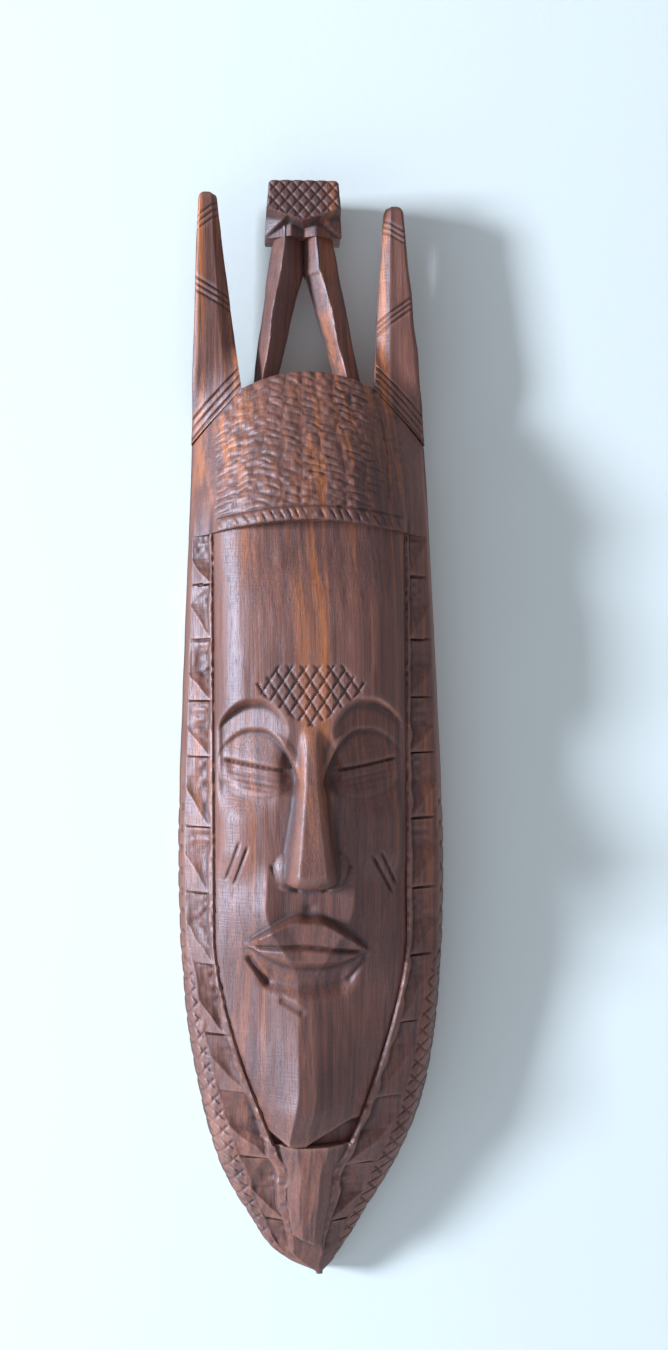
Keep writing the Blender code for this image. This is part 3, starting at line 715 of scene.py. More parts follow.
def coiffure_depth(x, h):
    """The coiffure: its plain dome, with braids between two smooth flanks, over a hem twisted like a
    rope."""
    above = h - hem(x)
    rise = smooth((h - 372) / 28)
    limit = np.where(x < 0, 42 - 11 * rise, 33 - 5 * rise) + 0.8 * mottle(h / 8, np.sign(x), 51)
    braided = smooth((above - 6.0) / 1.0) * smooth((limit - np.abs(x)) / 1.5)
    edge_cut = 1.0 * bell((x - limit) / 1.1) * smooth((above - 8) / 6)
    rough = 0.15 * mottle(x / 5, h / 6, 52) + 0.075 * mottle(x / 1.8, h / 2.4, 53)
    rope = smooth((FACE_HALF - 0.5 - np.abs(x)) / 2.0) * hem_rope(x, above)
    return coiffure_dome(x, h) + braided * braids(x, h) + rope - edge_cut + rough


def braids(x, h):
    """Upright braids that draw together towards the crown: each is a low rounded column that sways from
    side to side, crossed by short slanting nicks that bend a little, cut deeper here and shallower
    there."""
    spread = lerp(1.0, 0.74, smooth((h - 345) / 60))
    across = x / spread / BRAID_WIDTH + 0.16 * mottle(x / 9, h / 7, 61)
    column = np.round(across)
    f = across - column + 0.10 * np.sin(h / 2.9 + column * 2.3)
    body = 0.40 * (1 - np.abs(2 * f) ** 2.2)
    tilt = np.where(scatter(column, 0 * column, 65) > 0.5, 0.7, -0.7)
    start = scatter(column, 0 * column, 62)
    twist = h / BRAID_NICK_PITCH + 0.7 * f**2 + tilt * f + start + 0.22 * mottle(x / 3.5, h / 4, 63)
    step = np.abs(twist - np.floor(twist) - 0.5)
    nick = 0.85 * clamp(1 - step / 0.24) * clamp(1.15 - np.abs(2.3 * f) ** 3)
    uneven = clamp(0.62 + 0.5 * mottle(x / 4, h / 4, 64))
    return body - nick * uneven - 0.3


def hem_rope(x, above):
    """The hem: a round band with slanting nicks of uneven depth, like a rope of two strands."""
    t = (above - HEM_BAND_HALF) / HEM_BAND_HALF
    band = 0.8 * np.sqrt(clamp(1 - t**2)) + 0.35 * mottle(x / 2.5, above / 2, 72)
    lay = x / HEM_NICK_PITCH + 0.45 * t + 0.25 * mottle(x / 5, 0 * x, 71)
    nick = clamp(1 - np.abs(lay - np.floor(lay) - 0.5) / 0.2)
    uneven = clamp(0.7 + 0.5 * mottle(x / 6, 0 * x, 73))
    under = 0.7 * bell((above - 6.2) / 0.8)
    return band - 0.9 * nick * clamp(1.1 - t**2) * uneven - under


def coiffure_front(grain):
    """The coiffure's grid, between the hem and the crown with the horns' root seams."""
    u, v = grid_of((CROWN - HEM_SIDE) / grain, 110 / grain)
    edge = lerp(HEM_SIDE, CROWN_SIDE, v)
    x = (2 * u - 1) * (half_width(edge) - nicked(edge) * 0.6)
    h = lerp(hem(x), crown(x), v)
    return np.stack([x, coiffure_depth(x, h), h], axis=2)


def coiffure_back(x, h):
    """The flat back with the hanger's rounded pocket cut into it."""
    z = h - HANG
    top = high("hanger_ring")[2] + POCKET_MARGIN
    bottom = low("hanger_strap")[2] - POCKET_MARGIN
    over_x = np.maximum(np.abs(x) - (POCKET_HALF_WIDTH - POCKET_CORNER), 0)
    over_z = np.maximum(np.abs(z - (top + bottom) / 2) - ((top - bottom) / 2 - POCKET_CORNER), 0)
    return POCKET_DEPTH * smooth((POCKET_CORNER - np.hypot(over_x, over_z)) / 0.5 + 0.5)


# ---------------------------------------------------------------- horns


def horn_front(side, grain):
    """One horn's grid: it tapers from its slanted root seam to a rounded tip. Its front is a broad flat
    and a bevel on the inner side, and at the root it runs into the coiffure."""
    sign = -1 if side == "left" else 1
    tip = HORN_TIPS[side]
    tip_x = float(half_width(np.array(tip))) - HORN_LEAN[side]
    u, v = grid_of((tip - CROWN_SIDE) / grain, 24 / grain)
    q = u if sign > 0 else 1 - u
    outer, inner = lerp(CROWN_SIDE, tip, v), lerp(HORN_ROOT, tip, v)
    inner_x = lerp(HORN_INNER_ROOT, tip_x - HORN_TIP_WIDTH, v)
    waver = 0.35 + 0.35 * mottle(outer / 13, 0 * v, 81 + sign)
    outer_x = half_width(outer) - HORN_LEAN[side] * v - waver * smooth(v * 12)
    ending = clamp((outer - tip + 4.5) / 4.5)
    narrow = lerp(0.5, 1.0, np.sqrt(1 - ending**2))
    middle = (inner_x + outer_x) / 2
    x = lerp(inner_x, outer_x, q)
    x = middle + (x - middle) * narrow
    h = lerp(inner, outer, q)
    up = (h - CROWN_SIDE) / (tip - CROWN_SIDE)
    flat = lerp(HORN_ROOT_DEPTH, HORN_TIP_DEPTH, up)
    flat = flat - 3.4 * clamp((0.30 - q) / 0.30) - 1.3 * clamp((q - 0.86) / 0.14) ** 2
    root_x = lerp(HORN_INNER_ROOT, CROWN_HALF, q)
    root = coiffure_dome(root_x, crown(root_x))
    depth = lerp(root, flat, smooth(v / 0.3)) - 3.6 * ending**2.5
    depth += 0.3 * mottle(x / 5, h / 15, 84) - horn_grooves(side, x, h)
    return np.stack([sign * x, depth, h], axis=2)


def horn_grooves(side, x, h):
    """Ornament on the horns: bands of three or four slanting cuts along the root, at mid height and near
    the tip.

    Each band has the level of its first cut at x = 42, its rise over 9 mm, its pitch, its count and its
    depth.
    """
    bands = (
        ((388.0, 8.9, 8.0, 3, 1.3), (439.5, -5.4, 5.8, 3, 1.4), (474.0, 7.0, 6.0, 3, 1.0))
        if side == "left"
        else ((387.5, 8.9, 6.8, 4, 1.2), (431.5, -6.5, 5.0, 3, 1.2), (467.0, 5.4, 5.2, 3, 1.1))
    )
    depth = 0 * x
    for first, rise, pitch, count, deep in bands:
        slope = rise / 9
        line = (h - first + slope * (x - 42)) / pitch * 2
        number = np.round(line)
        near = np.abs(line - number) * pitch / 2
        within = (number >= 0) & (number < count)
        depth = depth + within * 0.7 * deep * clamp(1 - near / 0.9)
    return depth


def horn_back(side):
    """The horn's back, which leaves the wall in a soft curve over its lower third."""
    tip = HORN_TIPS[side]

    def back(x, h):
        up = clamp((h - CROWN_SIDE) / (tip - CROWN_SIDE))
        return HORN_BACK_RISE * smooth(up / 0.35) + 0.0 * x

    return back


def horn_inset(x, h, share):
    """Rounds the horn's walls into its back, and leaves the root plain where it meets the coiffure."""
    free = smooth((h - HORN_ROOT + 18) / 10)
    round_back = 1.5 * clamp((share - 0.78) / 0.22) ** 2
    flats = 0.3 + 0.3 * mottle(h / 8, share * 3, 85)
    hollow = 0.9 * np.sin(math.pi * clamp(share * 1.2)) * 0.3
    return free * (round_back - hollow + flats * smooth(share * 4))


# ---------------------------------------------------------------- crest


def leg_front(sign, grain):
    """One leg: a bar with a ridge along it, from the crown to the block, beside its twin above the fork."""
    top = BLOCK_BOTTOM + 6.0
    fork = BLOCK_BOTTOM - LEG_FORK_DROP
    foot_inner = LEG_FOOT_OUTER - LEG_WIDTH
    foot = float(crown(np.array(foot_inner)))
    u, v = grid_of((top - foot) / grain, LEG_WIDTH / grain * 1.3)
    q = u if sign > 0 else 1 - u
    h = lerp(foot, top, v)
    inner = lerp(0.0, foot_inner, clamp((fork - h) / (fork - foot)))
    outer = lerp(LEG_FOOT_OUTER, LEG_TOP_HALF_SPAN, clamp((h - foot) / (BLOCK_BOTTOM - foot)))
    waver = 0.3 + 0.3 * mottle(h / 9, 0 * h, 91 + sign)
    x = lerp(inner + waver * (inner > 0.5), outer - waver, q)
    settle = (foot - crown(x)) * (1 - v)
    ridge = (0.62 if sign < 0 else 0.42) + 0.06 * mottle(h / 14, 0 * h, 93)
    fall = np.where(q > ridge, (q - ridge) / (1 - ridge), (ridge - q) / ridge)
    depth = lerp(LEG_RIDGE_DEPTH, LEG_EDGE_DEPTH, fall**1.15) + 0.3 * mottle(q * 3, h / 9, 94)
    return np.stack([sign * x, depth, h - settle], axis=2)


def leg_inset(x, h, share):
    """Rounds the leg's back edges, between its ends."""
    between_ends = smooth((h - CROWN - 1) / 5) * smooth((BLOCK_BOTTOM - h) / 4)
    return 1.3 * clamp((share - 0.6) / 0.4) ** 2 * between_ends


def block_front(grain):
    """The block: a box a little narrower at its top, its front cross-hatched down to a V-shaped edge,
    both lower corners cut off by slanting planes, and the tops of the legs showing between them."""
    height = CREST_TOP - BLOCK_BOTTOM
    u, v = grid_of(height / grain, 2 * BLOCK_HALF / grain)
    h = lerp(BLOCK_BOTTOM, CREST_TOP, v)
    corner = 1 - 0.035 * clamp((np.abs(v - 0.5) - 0.45) / 0.05) ** 2
    across = 2 * u - 1
    x = across * lerp(BLOCK_HALF, BLOCK_HALF - 2.0, v) * corner
    h = h - height * 0.012 * across**4 * np.sign(v - 0.5)
    edge = BLOCK_BOTTOM + 5.0 + 0.34 * np.abs(x)
    hatch = cross_hatch(x, h, 48, HATCH_PITCH, 1.5, 0.8)
    round_over = 0.9 * clamp((np.abs(across) - 0.93) / 0.07) ** 2 + 0.9 * clamp((v - 0.95) / 0.05) ** 2
    face = BLOCK_FRONT - round_over - hatch * smooth((h - edge) / 1.2)
    under = np.maximum(edge - h, 0)
    outward = np.maximum(np.abs(x) - 5, 0)
    corner_plane = BLOCK_FRONT - 0.40 * under - 0.55 * outward * clamp(under / 2)
    legs = lerp(BLOCK_FRONT, 25.6 - 0.5 * np.abs(np.abs(x) - 5.5), smooth(under / 1.2))
    cut = lerp(legs, corner_plane, smooth((np.abs(x) - 6.0 - 1.0 * under) / 1.2))
    depth = np.where(under > 0, np.minimum(face, cut), face)
    return np.stack([x, np.maximum(depth, BLOCK_BACK + 2), h], axis=2)


def block_inset(x, h, share):
    """Knife flats down the block's sides, and a rounded edge at its back."""
    return 0.25 + 0.25 * mottle(h / 6 + x / 6, share * 2.5, 95) + clamp((share - 0.93) / 0.07) ** 2


# ---------------------------------------------------------------- hanger


def arc(centre, radius, start, end, count):
    """Points along a circular arc between two angles in degrees."""
    turn = np.radians(np.linspace(start, end, count))
    return np.stack([centre[0] + radius * np.cos(turn), centre[1] + radius * np.sin(turn)], axis=1)


def ring_mesh(looks):
    """The ring: a round wire carried along a closed path of a straight bar, two small bends and a
    half-circle."""
    lo, hi = low("hanger_ring"), high("hanger_ring")
    wire = (hi[1] - lo[1]) / 2
    half, bar = hi[0] - wire, lo[2] + wire
    reach, bend, out = hi[2] - wire - bar, 2.0, -(lo[1] + hi[1]) / 2
    path = np.concatenate([
        np.stack([np.linspace(bend - half, half - bend, 12)[:-1], np.zeros(11)], axis=1),
        arc((half - bend, bend), bend, -90, 0, 10)[:-1],
        arc((0, reach - half), half, 0, 180, 60),
        arc((bend - half, bend), bend, 180, 270, 10)[:-1],
    ])
    run = np.roll(path, -1, axis=0) - np.roll(path, 1, axis=0)
    side = np.stack([run[:, 1], -run[:, 0]], axis=1) / np.linalg.norm(run, axis=1, keepdims=True)
    turn = np.linspace(0, 2 * math.pi, 17)[:-1]
    across = path[:, None] + wire * np.cos(turn)[None, :, None] * side[:, None]
    depth = out + wire * np.sin(turn)[None] + 0 * across[..., 0]
    points = np.stack([across[..., 0], depth, across[..., 1] + bar + HANG], axis=2)
    index = np.arange(points.shape[0] * 16).reshape(-1, 16)
    ahead, beside = np.roll(index, -1, axis=0), np.roll(index, -1, axis=1)
    faces = np.stack([index, beside, np.roll(ahead, -1, axis=1), ahead], axis=2).reshape(-1, 4)
    return object_of("ring_wire", points.reshape(-1, 3), [faces], looks)


def screw_mesh(name, node, looks):
    """A pan-head wood screw turned about its own axis, with a driver slot cut across its head."""
    lo, hi = low(node), high(node)
    head, middle = hi[0], (lo[2] + hi[2]) / 2 + HANG
    top, length = -hi[1], hi[1] - lo[1]
    radius = np.array([0.02, 0.25, 0.5, 0.7, 0.85, 0.94, 1.0, 1.0, 0.97, 0.47, 0.47, 0.02]) * head
    below = np.array([0.0, 0.01, 0.04, 0.10, 0.20, 0.34, 0.6, 1.4, 1.6, 1.6, length - 3.0, length])
    turn = np.linspace(0, 2 * math.pi, 97)[:-1] + 0.5
    x = radius[:, None] * np.cos(turn)
    across = radius[:, None] * np.sin(turn)
    slot = 0.8 * smooth((0.45 - np.abs(x)) / 0.12) * (np.arange(12)[:, None] < 7)
    points = np.stack([x, top + below[:, None] + slot, middle + across], axis=2)
    index = np.arange(12 * 96).reshape(12, 96)
    beside = np.roll(index, -1, axis=1)
    faces = np.stack([index[:-1], beside[:-1], beside[1:], index[1:]], axis=2).reshape(-1, 4)
    return object_of(name, points.reshape(-1, 3), [faces, index[:1, ::-1], index[-1:]], looks, 35.0)


# ---------------------------------------------------------------- finishes


class Finish:
    """A node material being wired up: add() makes a node, and sets its settings and its inputs."""

    def __init__(self, name):
        self.material = bpy.data.materials.new(name)
        self.material.use_nodes = True
        self.tree = self.material.node_tree
        self.shader = self.tree.nodes["Principled BSDF"]

    def put(self, socket, value):
        if isinstance(value, bpy.types.NodeSocket):
            self.tree.links.new(value, socket)
        else:
            socket.default_value = value

    def add(self, kind, inputs=(), **settings):
        node = self.tree.nodes.new(kind)
        for key, value in settings.items():
            setattr(node, key, value)
        for key, value in dict(inputs).items():
            self.put(node.inputs[key], value)
        return node

    def math(self, operation, a, b=0.0, clamped=False):
        return self.add("ShaderNodeMath", {0: a, 1: b}, operation=operation, use_clamp=clamped).outputs[0]

    def mix(self, share, a, b, blend="MIX"):
        node = self.add("ShaderNodeMix", data_type="RGBA", blend_type=blend)
        for socket, value in ((0, share), (6, a), (7, b)):
            self.put(node.inputs[socket], value)
        return node.outputs[2]

    def scaled(self, vector, scale):
        return self.add("ShaderNodeMapping", {"Vector": vector, "Scale": scale}).outputs[0]

    def noise(self, vector, scale=1.0, detail=2.0, rough=0.5):
        inputs = {"Vector": vector, "Scale": scale, "Detail": detail, "Roughness": rough}
        return self.add("ShaderNodeTexNoise", inputs).outputs["Fac"]

    def ramp(self, value, stops):
        node = self.add("ShaderNodeValToRGB", {"Fac": value})
        bar = node.color_ramp
        while len(bar.elements) < len(stops):
            bar.elements.new(0.5)
        for element, (place, colour) in zip(bar.elements, stops):
            element.position = place
            element.color = (*colour, 1.0)
        return node.outputs["Color"]

    def between(self, value, lowest, highest):
        inputs = {"Value": value, "From Min": lowest, "From Max": highest}
        return self.add("ShaderNodeMapRange", inputs, clamp=True).outputs["Result"]


def shade(colour, factor):
    return tuple(min(1.0, c * factor) for c in colour)


def wood(name, colours, warmth=1.0, depth=1.0):
    """Waxed hardwood. Thin straight layers show as upright streaks over a finer grain and small dark
    pores. A few are orange, most of them above the mouth. Faint tool marks cross the grain, the high
    places are rubbed lighter, and the cuts are darkened with painted shade."""
    f = Finish(name)
    place = f.add("ShaderNodeTexCoord").outputs["Object"]
    x, y, z = f.add("ShaderNodeSeparateXYZ", {0: place}).outputs
    sway = f.noise(f.scaled(place, (9.0, 9.0, 5.0)), 1.0, 2.0)
    layer = f.math("ADD", f.math("ADD", x, f.math("MULTIPLY", y, 0.45)), f.math("MULTIPLY", sway, 0.010))
    across, out, up = (
        f.math("MULTIPLY", length, scale) for length, scale in ((layer, 330.0), (y, 130.0), (z, 4.0))
    )
    layers = f.add("ShaderNodeCombineXYZ", {0: across, 1: out, 2: up}).outputs[0]
    broad = f.noise(f.scaled(layers, (0.16, 0.16, 0.5)), 1.0, 2.0)
    streak = f.noise(layers, 1.0, 3.0, 0.65)
    fine = f.noise(f.scaled(place, (1500.0, 1500.0, 26.0)), 1.0, 3.0, 0.65)
    pores = f.between(f.noise(f.scaled(place, (2600.0, 2600.0, 160.0)), 1.0, 1.0), 0.60, 0.70)
    patches = f.noise(place, 16.0, 3.0)
    chatter = f.noise(f.scaled(place, (130.0, 130.0, 1250.0)), 1.0, 2.0)

    dark, heart = shade(colours.dark, depth), shade(colours.heart, depth)
    warm = tuple(m + (w - m) * warmth for m, w in zip(colours.heart, colours.streak))
    colour = f.ramp(streak, (
        (0.26, shade(dark, 1.2)), (0.42, shade(heart, 0.84)), (0.52, heart),
        (0.61, shade(heart, 1.14)), (0.70, shade(heart, 0.92)), (0.80, shade(dark, 1.5)),
    ))
    orange = f.math("MULTIPLY", f.between(streak, 0.49, 0.62), f.between(broad, 0.42, 0.56))
    orange = f.math("MULTIPLY", orange, f.math("MAXIMUM", f.between(z, -0.25, -0.18), 0.35))
    colour = f.mix(f.math("MULTIPLY", orange, 0.9), colour, (*shade(warm, depth), 1.0))
    grain = f.ramp(fine, ((0.34, (0.70, 0.68, 0.68)), (0.50, (1.0, 1.0, 1.0)), (0.68, (1.28, 1.22, 1.18))))
    colour = f.mix(0.8, colour, grain, "MULTIPLY")
    tone = f.ramp(patches, (
        (0.30, (0.76, 0.74, 0.75)), (0.52, (1.0, 1.0, 1.0)), (0.70, (1.16, 1.10, 1.06)),
    ))
    colour = f.mix(1.0, colour, tone, "MULTIPLY")
    # Colour of the dark pores, used again below as the painted shade in the cuts.
    pit = (*shade(colours.dark, 0.5), 1.0)
    colour = f.mix(f.math("MULTIPLY", pores, 0.30), colour, pit)
    worn = f.add("ShaderNodeAttribute", attribute_name="worn").outputs["Fac"]
    cut_shade = f.add("ShaderNodeAttribute", attribute_name="cut_shade").outputs["Fac"]
    rubbed = f.math("MULTIPLY", worn, f.between(patches, 0.34, 0.62))
    colour = f.mix(f.math("MULTIPLY", rubbed, 0.55), colour, (*colours.worn, 1.0))
    # Painted shade: the cuts are darkened towards the pore colour.
    colour = f.mix(f.math("MULTIPLY", cut_shade, 0.66), colour, pit)
    f.put(f.shader.inputs["Base Color"], colour)

    rough = f.math("ADD", f.math("MULTIPLY", fine, 0.20), 0.40)
    rough = f.math("ADD", rough, f.math("MULTIPLY", f.math("ADD", pores, cut_shade), 0.16))
    f.put(f.shader.inputs["Roughness"], rough)
    f.shader.inputs["Specular IOR Level"].default_value = 0.9
    f.shader.inputs["Specular Tint"].default_value = (0.70, 0.80, 1.0, 1.0)
    f.shader.inputs["Coat Weight"].default_value = 0.12
    f.shader.inputs["Coat Roughness"].default_value = 0.5
    height = f.math("ADD", f.math("MULTIPLY", fine, 0.6), f.math("MULTIPLY", chatter, 0.5))
    height = f.math("SUBTRACT", height, f.math("MULTIPLY", pores, 0.25))
    bump = f.add("ShaderNodeBump", {"Height": height, "Strength": 0.6, "Distance": 0.00035})
    f.put(f.shader.inputs["Normal"], bump.outputs[0])
    return f.material


def zinc(name, colour, rough):
    """Zinc-plated steel: a cloudy grey plate with rubbed scratches and faint spots of tarnish."""
    f = Finish(name)
    place = f.add("ShaderNodeTexCoord").outputs["Object"]
    cloud = f.noise(place, 420.0, 4.0)
    spots = f.between(f.noise(place, 900.0, 2.0), 0.60, 0.72)
    body = f.ramp(cloud, ((0.30, shade(colour, 0.72)), (0.55, colour), (0.75, shade(colour, 1.12))))
    spotted = f.mix(f.math("MULTIPLY", spots, 0.5), body, (0.16, 0.13, 0.10, 1.0))
    f.put(f.shader.inputs["Base Color"], spotted)
    f.shader.inputs["Metallic"].default_value = 1.0
    scratch = f.noise(f.scaled(place, (2600.0, 600.0, 260.0)), 1.0, 2.0)
    f.put(f.shader.inputs["Roughness"], f.math("ADD", f.math("MULTIPLY", cloud, 0.25), rough))
    bump = f.add("ShaderNodeBump", {"Height": scratch, "Strength": 0.3, "Distance": 0.00008})
    f.put(f.shader.inputs["Normal"], bump.outputs[0])
    return f.material


# ---------------------------------------------------------------- studio


def plain_sheet(name, corners, looks):
    """One flat sheet of the studio."""
    mesh = bpy.data.meshes.new(name)
    mesh.from_pydata(corners, [], [(0, 1, 2, 3)])
    mesh.materials.append(looks)
    obj = bpy.data.objects.new(name, mesh)
    bpy.context.scene.collection.objects.link(obj)
    return obj


def plaster(name, colour, one_sided=False):
    """Matt painted plaster. One-sided plaster is clear from behind, so that the mask's back can be
    looked at."""
    f = Finish(name)
    place = f.add("ShaderNodeTexCoord").outputs["Object"]
    stain = f.ramp(f.noise(place, 2.2, 3.0), ((0.3, shade(colour, 0.965)), (0.7, colour)))
    f.put(f.shader.inputs["Base Color"], stain)
    f.shader.inputs["Roughness"].default_value = 0.9
    f.shader.inputs["Specular IOR Level"].default_value = 0.2
    texture = f.noise(place, 260.0, 3.0)
    orange_peel = f.add("ShaderNodeBump", {"Height": texture, "Strength": 0.12, "Distance": 0.0006})
    f.put(f.shader.inputs["Normal"], orange_peel.outputs[0])
    if one_sided:
        behind = f.add("ShaderNodeNewGeometry").outputs["Backfacing"]
        clear = f.add("ShaderNodeBsdfTransparent").outputs[0]
        sheet = f.add("ShaderNodeMixShader", {0: behind, 1: f.shader.outputs[0], 2: clear}).outputs[0]
        f.put(f.tree.nodes["Material Output"].inputs["Surface"], sheet)
    return f.material


def soft_box(name, place, aim, size, power, colour):
    """A rectangular light that faces its aim."""
    lamp = bpy.data.lights.new(name, "AREA")
    lamp.shape = "RECTANGLE"
    lamp.size, lamp.size_y = size
    lamp.energy = power
    lamp.color = colour
    obj = bpy.data.objects.new(name, lamp)
    obj.location = place
    obj.rotation_euler = (Vector(aim) - Vector(place)).to_track_quat("-Z", "Y").to_euler()
    bpy.context.scene.collection.objects.link(obj)
    return obj


def add_camera(settings):
    """The camera faces the wall at the mask's middle height, turned a little and rolled by under a
    degree."""
    data = bpy.data.cameras.new("studio_camera")
    data.sensor_width = 36.0
    data.lens = settings.lens
    data.clip_start, data.clip_end = 0.02, 50.0
    camera = bpy.data.objects.new("studio_camera", data)
    place = Vector((settings.camera_side, -settings.camera_distance, settings.camera_height))
    aim = Vector((settings.aim_side, 0.0, settings.camera_height))
    roll = Matrix.Rotation(settings.camera_roll, 4, "Z")
    facing = (aim - place).to_track_quat("-Z", "Y").to_matrix().to_4x4()
    camera.matrix_world = Matrix.Translation(place) @ facing @ roll
    bpy.context.scene.collection.objects.link(camera)
    bpy.context.scene.camera = camera


# ---------------------------------------------------------------- settings


def colour_setting(name, description, default):
    return FloatVectorProperty(
        name=name, description=description, default=default, size=3, subtype="COLOR", min=0.0, max=1.0
    )


def length_setting(name, description, default):
    return FloatProperty(name=name, description=description, default=default, unit="LENGTH")


class MaskCarving(bpy.types.PropertyGroup):
    grain: FloatProperty(
        name="Surface grain", description="Spacing of the points on the carved surfaces, in millimetres",
        default=0.58, min=0.4, max=3.0,
    )


class MaskFinish(bpy.types.PropertyGroup):
    heart: colour_setting("Heartwood", "Main colour of the wood", (0.184, 0.067, 0.043))
    dark: colour_setting("Dark grain", "Colour of the dark layers and pores", (0.074, 0.029, 0.022))
    streak: colour_setting("Warm streaks", "Colour of the orange layers", (0.400, 0.120, 0.028))
    worn: colour_setting("Rubbed edges", "Colour of the wood where edges are rubbed", (0.340, 0.160, 0.115))
    metal: colour_setting("Zinc plate", "Colour of the hanger's metal", (0.60, 0.60, 0.58))


class MaskStudio(bpy.types.PropertyGroup):
    lens: FloatProperty(
        name="Lens", description="Focal length in millimetres", default=37.0, subtype="DISTANCE_CAMERA"
    )
    camera_distance: length_setting("Camera distance", "Distance from the wall", 0.64)
    camera_side: length_setting("Camera side", "Camera's place to the right of the nail", -0.028)
    camera_height: length_setting("Camera height", "Camera's height above the nail", -0.1213)
    aim_side: length_setting("Aim side", "Point on the wall that the camera faces", 0.0115)
    camera_roll: FloatProperty(
        name="Camera roll", description="Turn about the camera's own axis", default=math.radians(-0.35),
        subtype="ANGLE",
    )
    window: FloatProperty(
        name="Window light", description="Power of the soft light on the left", default=250.0,
        subtype="POWER",
    )
    plaster: colour_setting("Plaster", "Colour of the wall and the floor", (0.80, 0.86, 0.88))


# ---------------------------------------------------------------- operators


class MASK_OT_carve_face(bpy.types.Operator):
    """Carve the face with its brow, closed eyes, nose, lips and chin, and the hollow behind it"""

    bl_idname = "mask.carve_face"
    bl_label = "Carve face"

    def execute(self, context):
        looks = wood("face_wood", context.scene.mask_finish)
        front = face_front(context.scene.mask_carving.grain)
        face = carving("carved_face", front, face_back, looks, step=4, wall_rings=4)
        dress(face, "face")
        return {"FINISHED"}


class MASK_OT_carve_borders(bpy.types.Operator):
    """Carve both chip-carved borders and the beard"""

    bl_idname = "mask.carve_borders"
    bl_label = "Carve borders and beard"

    def execute(self, context):
        looks = wood("border_wood", context.scene.mask_finish, warmth=1.1)
        grain = context.scene.mask_carving.grain * 0.9
        for side, sign in (("left", -1), ("right", 1)):
            front = border_front(sign, grain)
            border = carving(f"carved_border_{side}", front, level(0.0), looks, 4, 14, hewn)
            dress(border, f"border_{side}")
        beard = carving("carved_beard", beard_front(grain), level(0.0), looks, 2, 12, hewn)
        dress(beard, "beard")
        return {"FINISHED"}


class MASK_OT_carve_coiffure(bpy.types.Operator):
    """Carve the braided coiffure over its twisted hem, and the hanger's pocket behind it"""

    bl_idname = "mask.carve_coiffure"
    bl_label = "Carve coiffure"

    def execute(self, context):
        looks = wood("coiffure_wood", context.scene.mask_finish, warmth=1.2, depth=0.95)
        front = coiffure_front(context.scene.mask_carving.grain * 0.9)
        coiffure = carving("carved_coiffure", front, coiffure_back, looks, 1, 22, hewn)
        dress(coiffure, "coiffure")
        return {"FINISHED"}


class MASK_OT_carve_horns(bpy.types.Operator):
    """Carve both tapered horns with their bands of slanting grooves"""

    bl_idname = "mask.carve_horns"
    bl_label = "Carve horns"

    def execute(self, context):
        looks = wood("horn_wood", context.scene.mask_finish, warmth=1.3)
        for side in ("left", "right"):
            front = horn_front(side, context.scene.mask_carving.grain)
            horn = carving(f"carved_horn_{side}", front, horn_back(side), looks, 1, 26, horn_inset)
            dress(horn, f"horn_{side}")
        return {"FINISHED"}


class MASK_OT_carve_crest(bpy.types.Operator):
    """Carve the two ridged legs of the crest and the cross-hatched block on them"""

    bl_idname = "mask.carve_crest"
    bl_label = "Carve crest"

    def execute(self, context):
        looks = wood("crest_wood", context.scene.mask_finish, depth=0.85)
        grain = context.scene.mask_carving.grain * 0.9
        for side, sign in (("left", -1), ("right", 1)):
            front = leg_front(sign, grain)
            leg = carving(f"carved_leg_{side}", front, level(LEG_BACK), looks, 1, 10, leg_inset)
            dress(leg, f"crest_leg_{side}")
        block = carving("carved_block", block_front(grain), level(BLOCK_BACK), looks, 1, 24, block_inset)
        dress(block, "crest_block")
        return {"FINISHED"}


class MASK_OT_fit_hanger(bpy.types.Operator):
    """Make the swinging ring and the slotted screws, and plate the strap"""

    bl_idname = "mask.fit_hanger"
    bl_label = "Fit hanger"

    def execute(self, context):
        metal = tuple(context.scene.mask_finish.metal)
        dress(ring_mesh(zinc("zinc_wire", metal, 0.22)), "hanger_ring", body="ring")
        steel = zinc("screw_steel", shade(metal, 0.9), 0.26)
        for place in ("upper", "lower"):
            node = f"hanger_screw_{place}"
            dress(screw_mesh(f"slotted_screw_{place}", node, steel), node)
        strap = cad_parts["hanger_strap"]
        strap.data.materials.clear()
        strap.data.materials.append(zinc("zinc_plate", metal, 0.30))
        return {"FINISHED"}


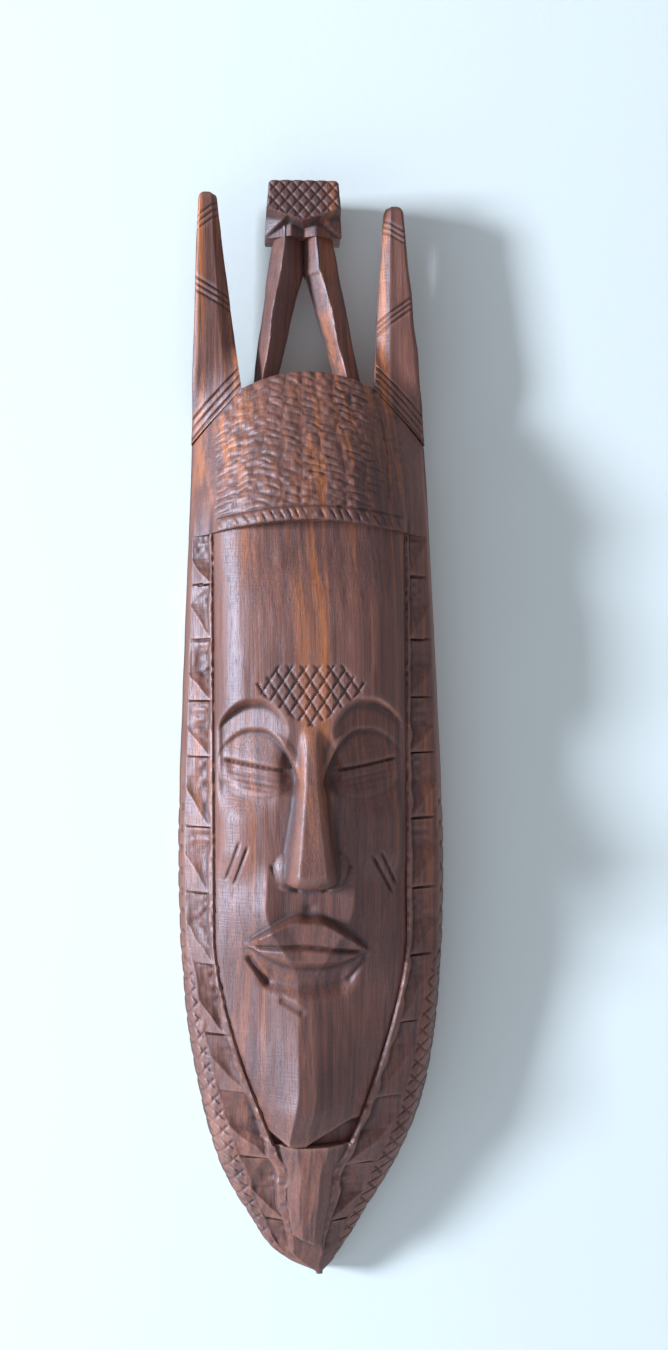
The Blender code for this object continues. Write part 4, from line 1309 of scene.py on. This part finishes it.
class MASK_OT_set_studio(bpy.types.Operator):
    """Set the pale wall and floor, the window light, the room light and the camera"""

    bl_idname = "mask.set_studio"
    bl_label = "Set studio"

    def execute(self, context):
        settings = context.scene.mask_studio
        pale = tuple(settings.plaster)
        low_left, low_right = (-2.5, 0.0, FLOOR_LEVEL), (2.5, 0.0, FLOOR_LEVEL)
        wall = [low_left, low_right, (2.5, 0.0, 1.9), (-2.5, 0.0, 1.9)]
        floor = [(x, y, FLOOR_LEVEL) for x, y in ((-2.5, -3.0), (2.5, -3.0), (2.5, 2.0), (-2.5, 2.0))]
        behind = plain_sheet("wall", wall, plaster("wall_plaster", pale, one_sided=True))
        behind.visible_diffuse = behind.visible_glossy = behind.visible_shadow = False
        plain_sheet("floor", floor, plaster("floor_paint", pale))
        soft_box("window", WINDOW_PLACE, WINDOW_AIM, WINDOW_SIZE, settings.window, WINDOW_COLOUR)
        room = bpy.data.worlds.new("room_light")
        context.scene.world = room
        room.use_nodes = True
        nodes, link = room.node_tree.nodes, room.node_tree.links.new
        sky = nodes["Background"]
        sky.inputs["Color"].default_value = ROOM_COLOUR
        sky.inputs["Strength"].default_value = ROOM_STRENGTH
        seen = nodes.new("ShaderNodeBackground")
        seen.inputs["Color"].default_value = (*pale, 1.0)
        either = nodes.new("ShaderNodeMixShader")
        link(either.inputs[0], nodes.new("ShaderNodeLightPath").outputs["Is Camera Ray"])
        link(either.inputs[1], sky.outputs[0])
        link(either.inputs[2], seen.outputs[0])
        link(nodes["World Output"].inputs["Surface"], either.outputs[0])
        add_camera(settings)
        context.scene.view_settings.view_transform = "Standard"
        return {"FINISHED"}


OPERATORS = (
    MASK_OT_carve_face,
    MASK_OT_carve_borders,
    MASK_OT_carve_coiffure,
    MASK_OT_carve_horns,
    MASK_OT_carve_crest,
    MASK_OT_fit_hanger,
    MASK_OT_set_studio,
)


class MASK_PT_carved_mask(bpy.types.Panel):
    """Lists the steps that dress the mask, and their settings"""

    bl_idname = "MASK_PT_carved_mask"
    bl_label = "Carved Mask"
    bl_space_type = "VIEW_3D"
    bl_region_type = "UI"
    bl_category = "Carved Mask"

    def draw(self, context):
        layout = self.layout
        for group in (context.scene.mask_carving, context.scene.mask_finish, context.scene.mask_studio):
            for setting in group.bl_rna.properties:
                if setting.identifier not in ("rna_type", "name"):
                    layout.prop(group, setting.identifier)
        for step in OPERATORS:
            layout.operator(step.bl_idname)


CLASSES = (MaskCarving, MaskFinish, MaskStudio, *OPERATORS, MASK_PT_carved_mask)


def register():
    for item in CLASSES:
        bpy.utils.register_class(item)
    bpy.types.Scene.mask_carving = PointerProperty(type=MaskCarving)
    bpy.types.Scene.mask_finish = PointerProperty(type=MaskFinish)
    bpy.types.Scene.mask_studio = PointerProperty(type=MaskStudio)


def unregister():
    for label in ("mask_carving", "mask_finish", "mask_studio"):
        delattr(bpy.types.Scene, label)
    for item in reversed(CLASSES):
        bpy.utils.unregister_class(item)


def main():
    """Registers the add-on and dresses the mask step by step."""
    register()
    bpy.ops.mask.carve_face()
    bpy.ops.mask.carve_borders()
    bpy.ops.mask.carve_coiffure()
    bpy.ops.mask.carve_horns()
    bpy.ops.mask.carve_crest()
    bpy.ops.mask.fit_hanger()
    bpy.ops.mask.set_studio()


if __name__ == "__main__":
    main()
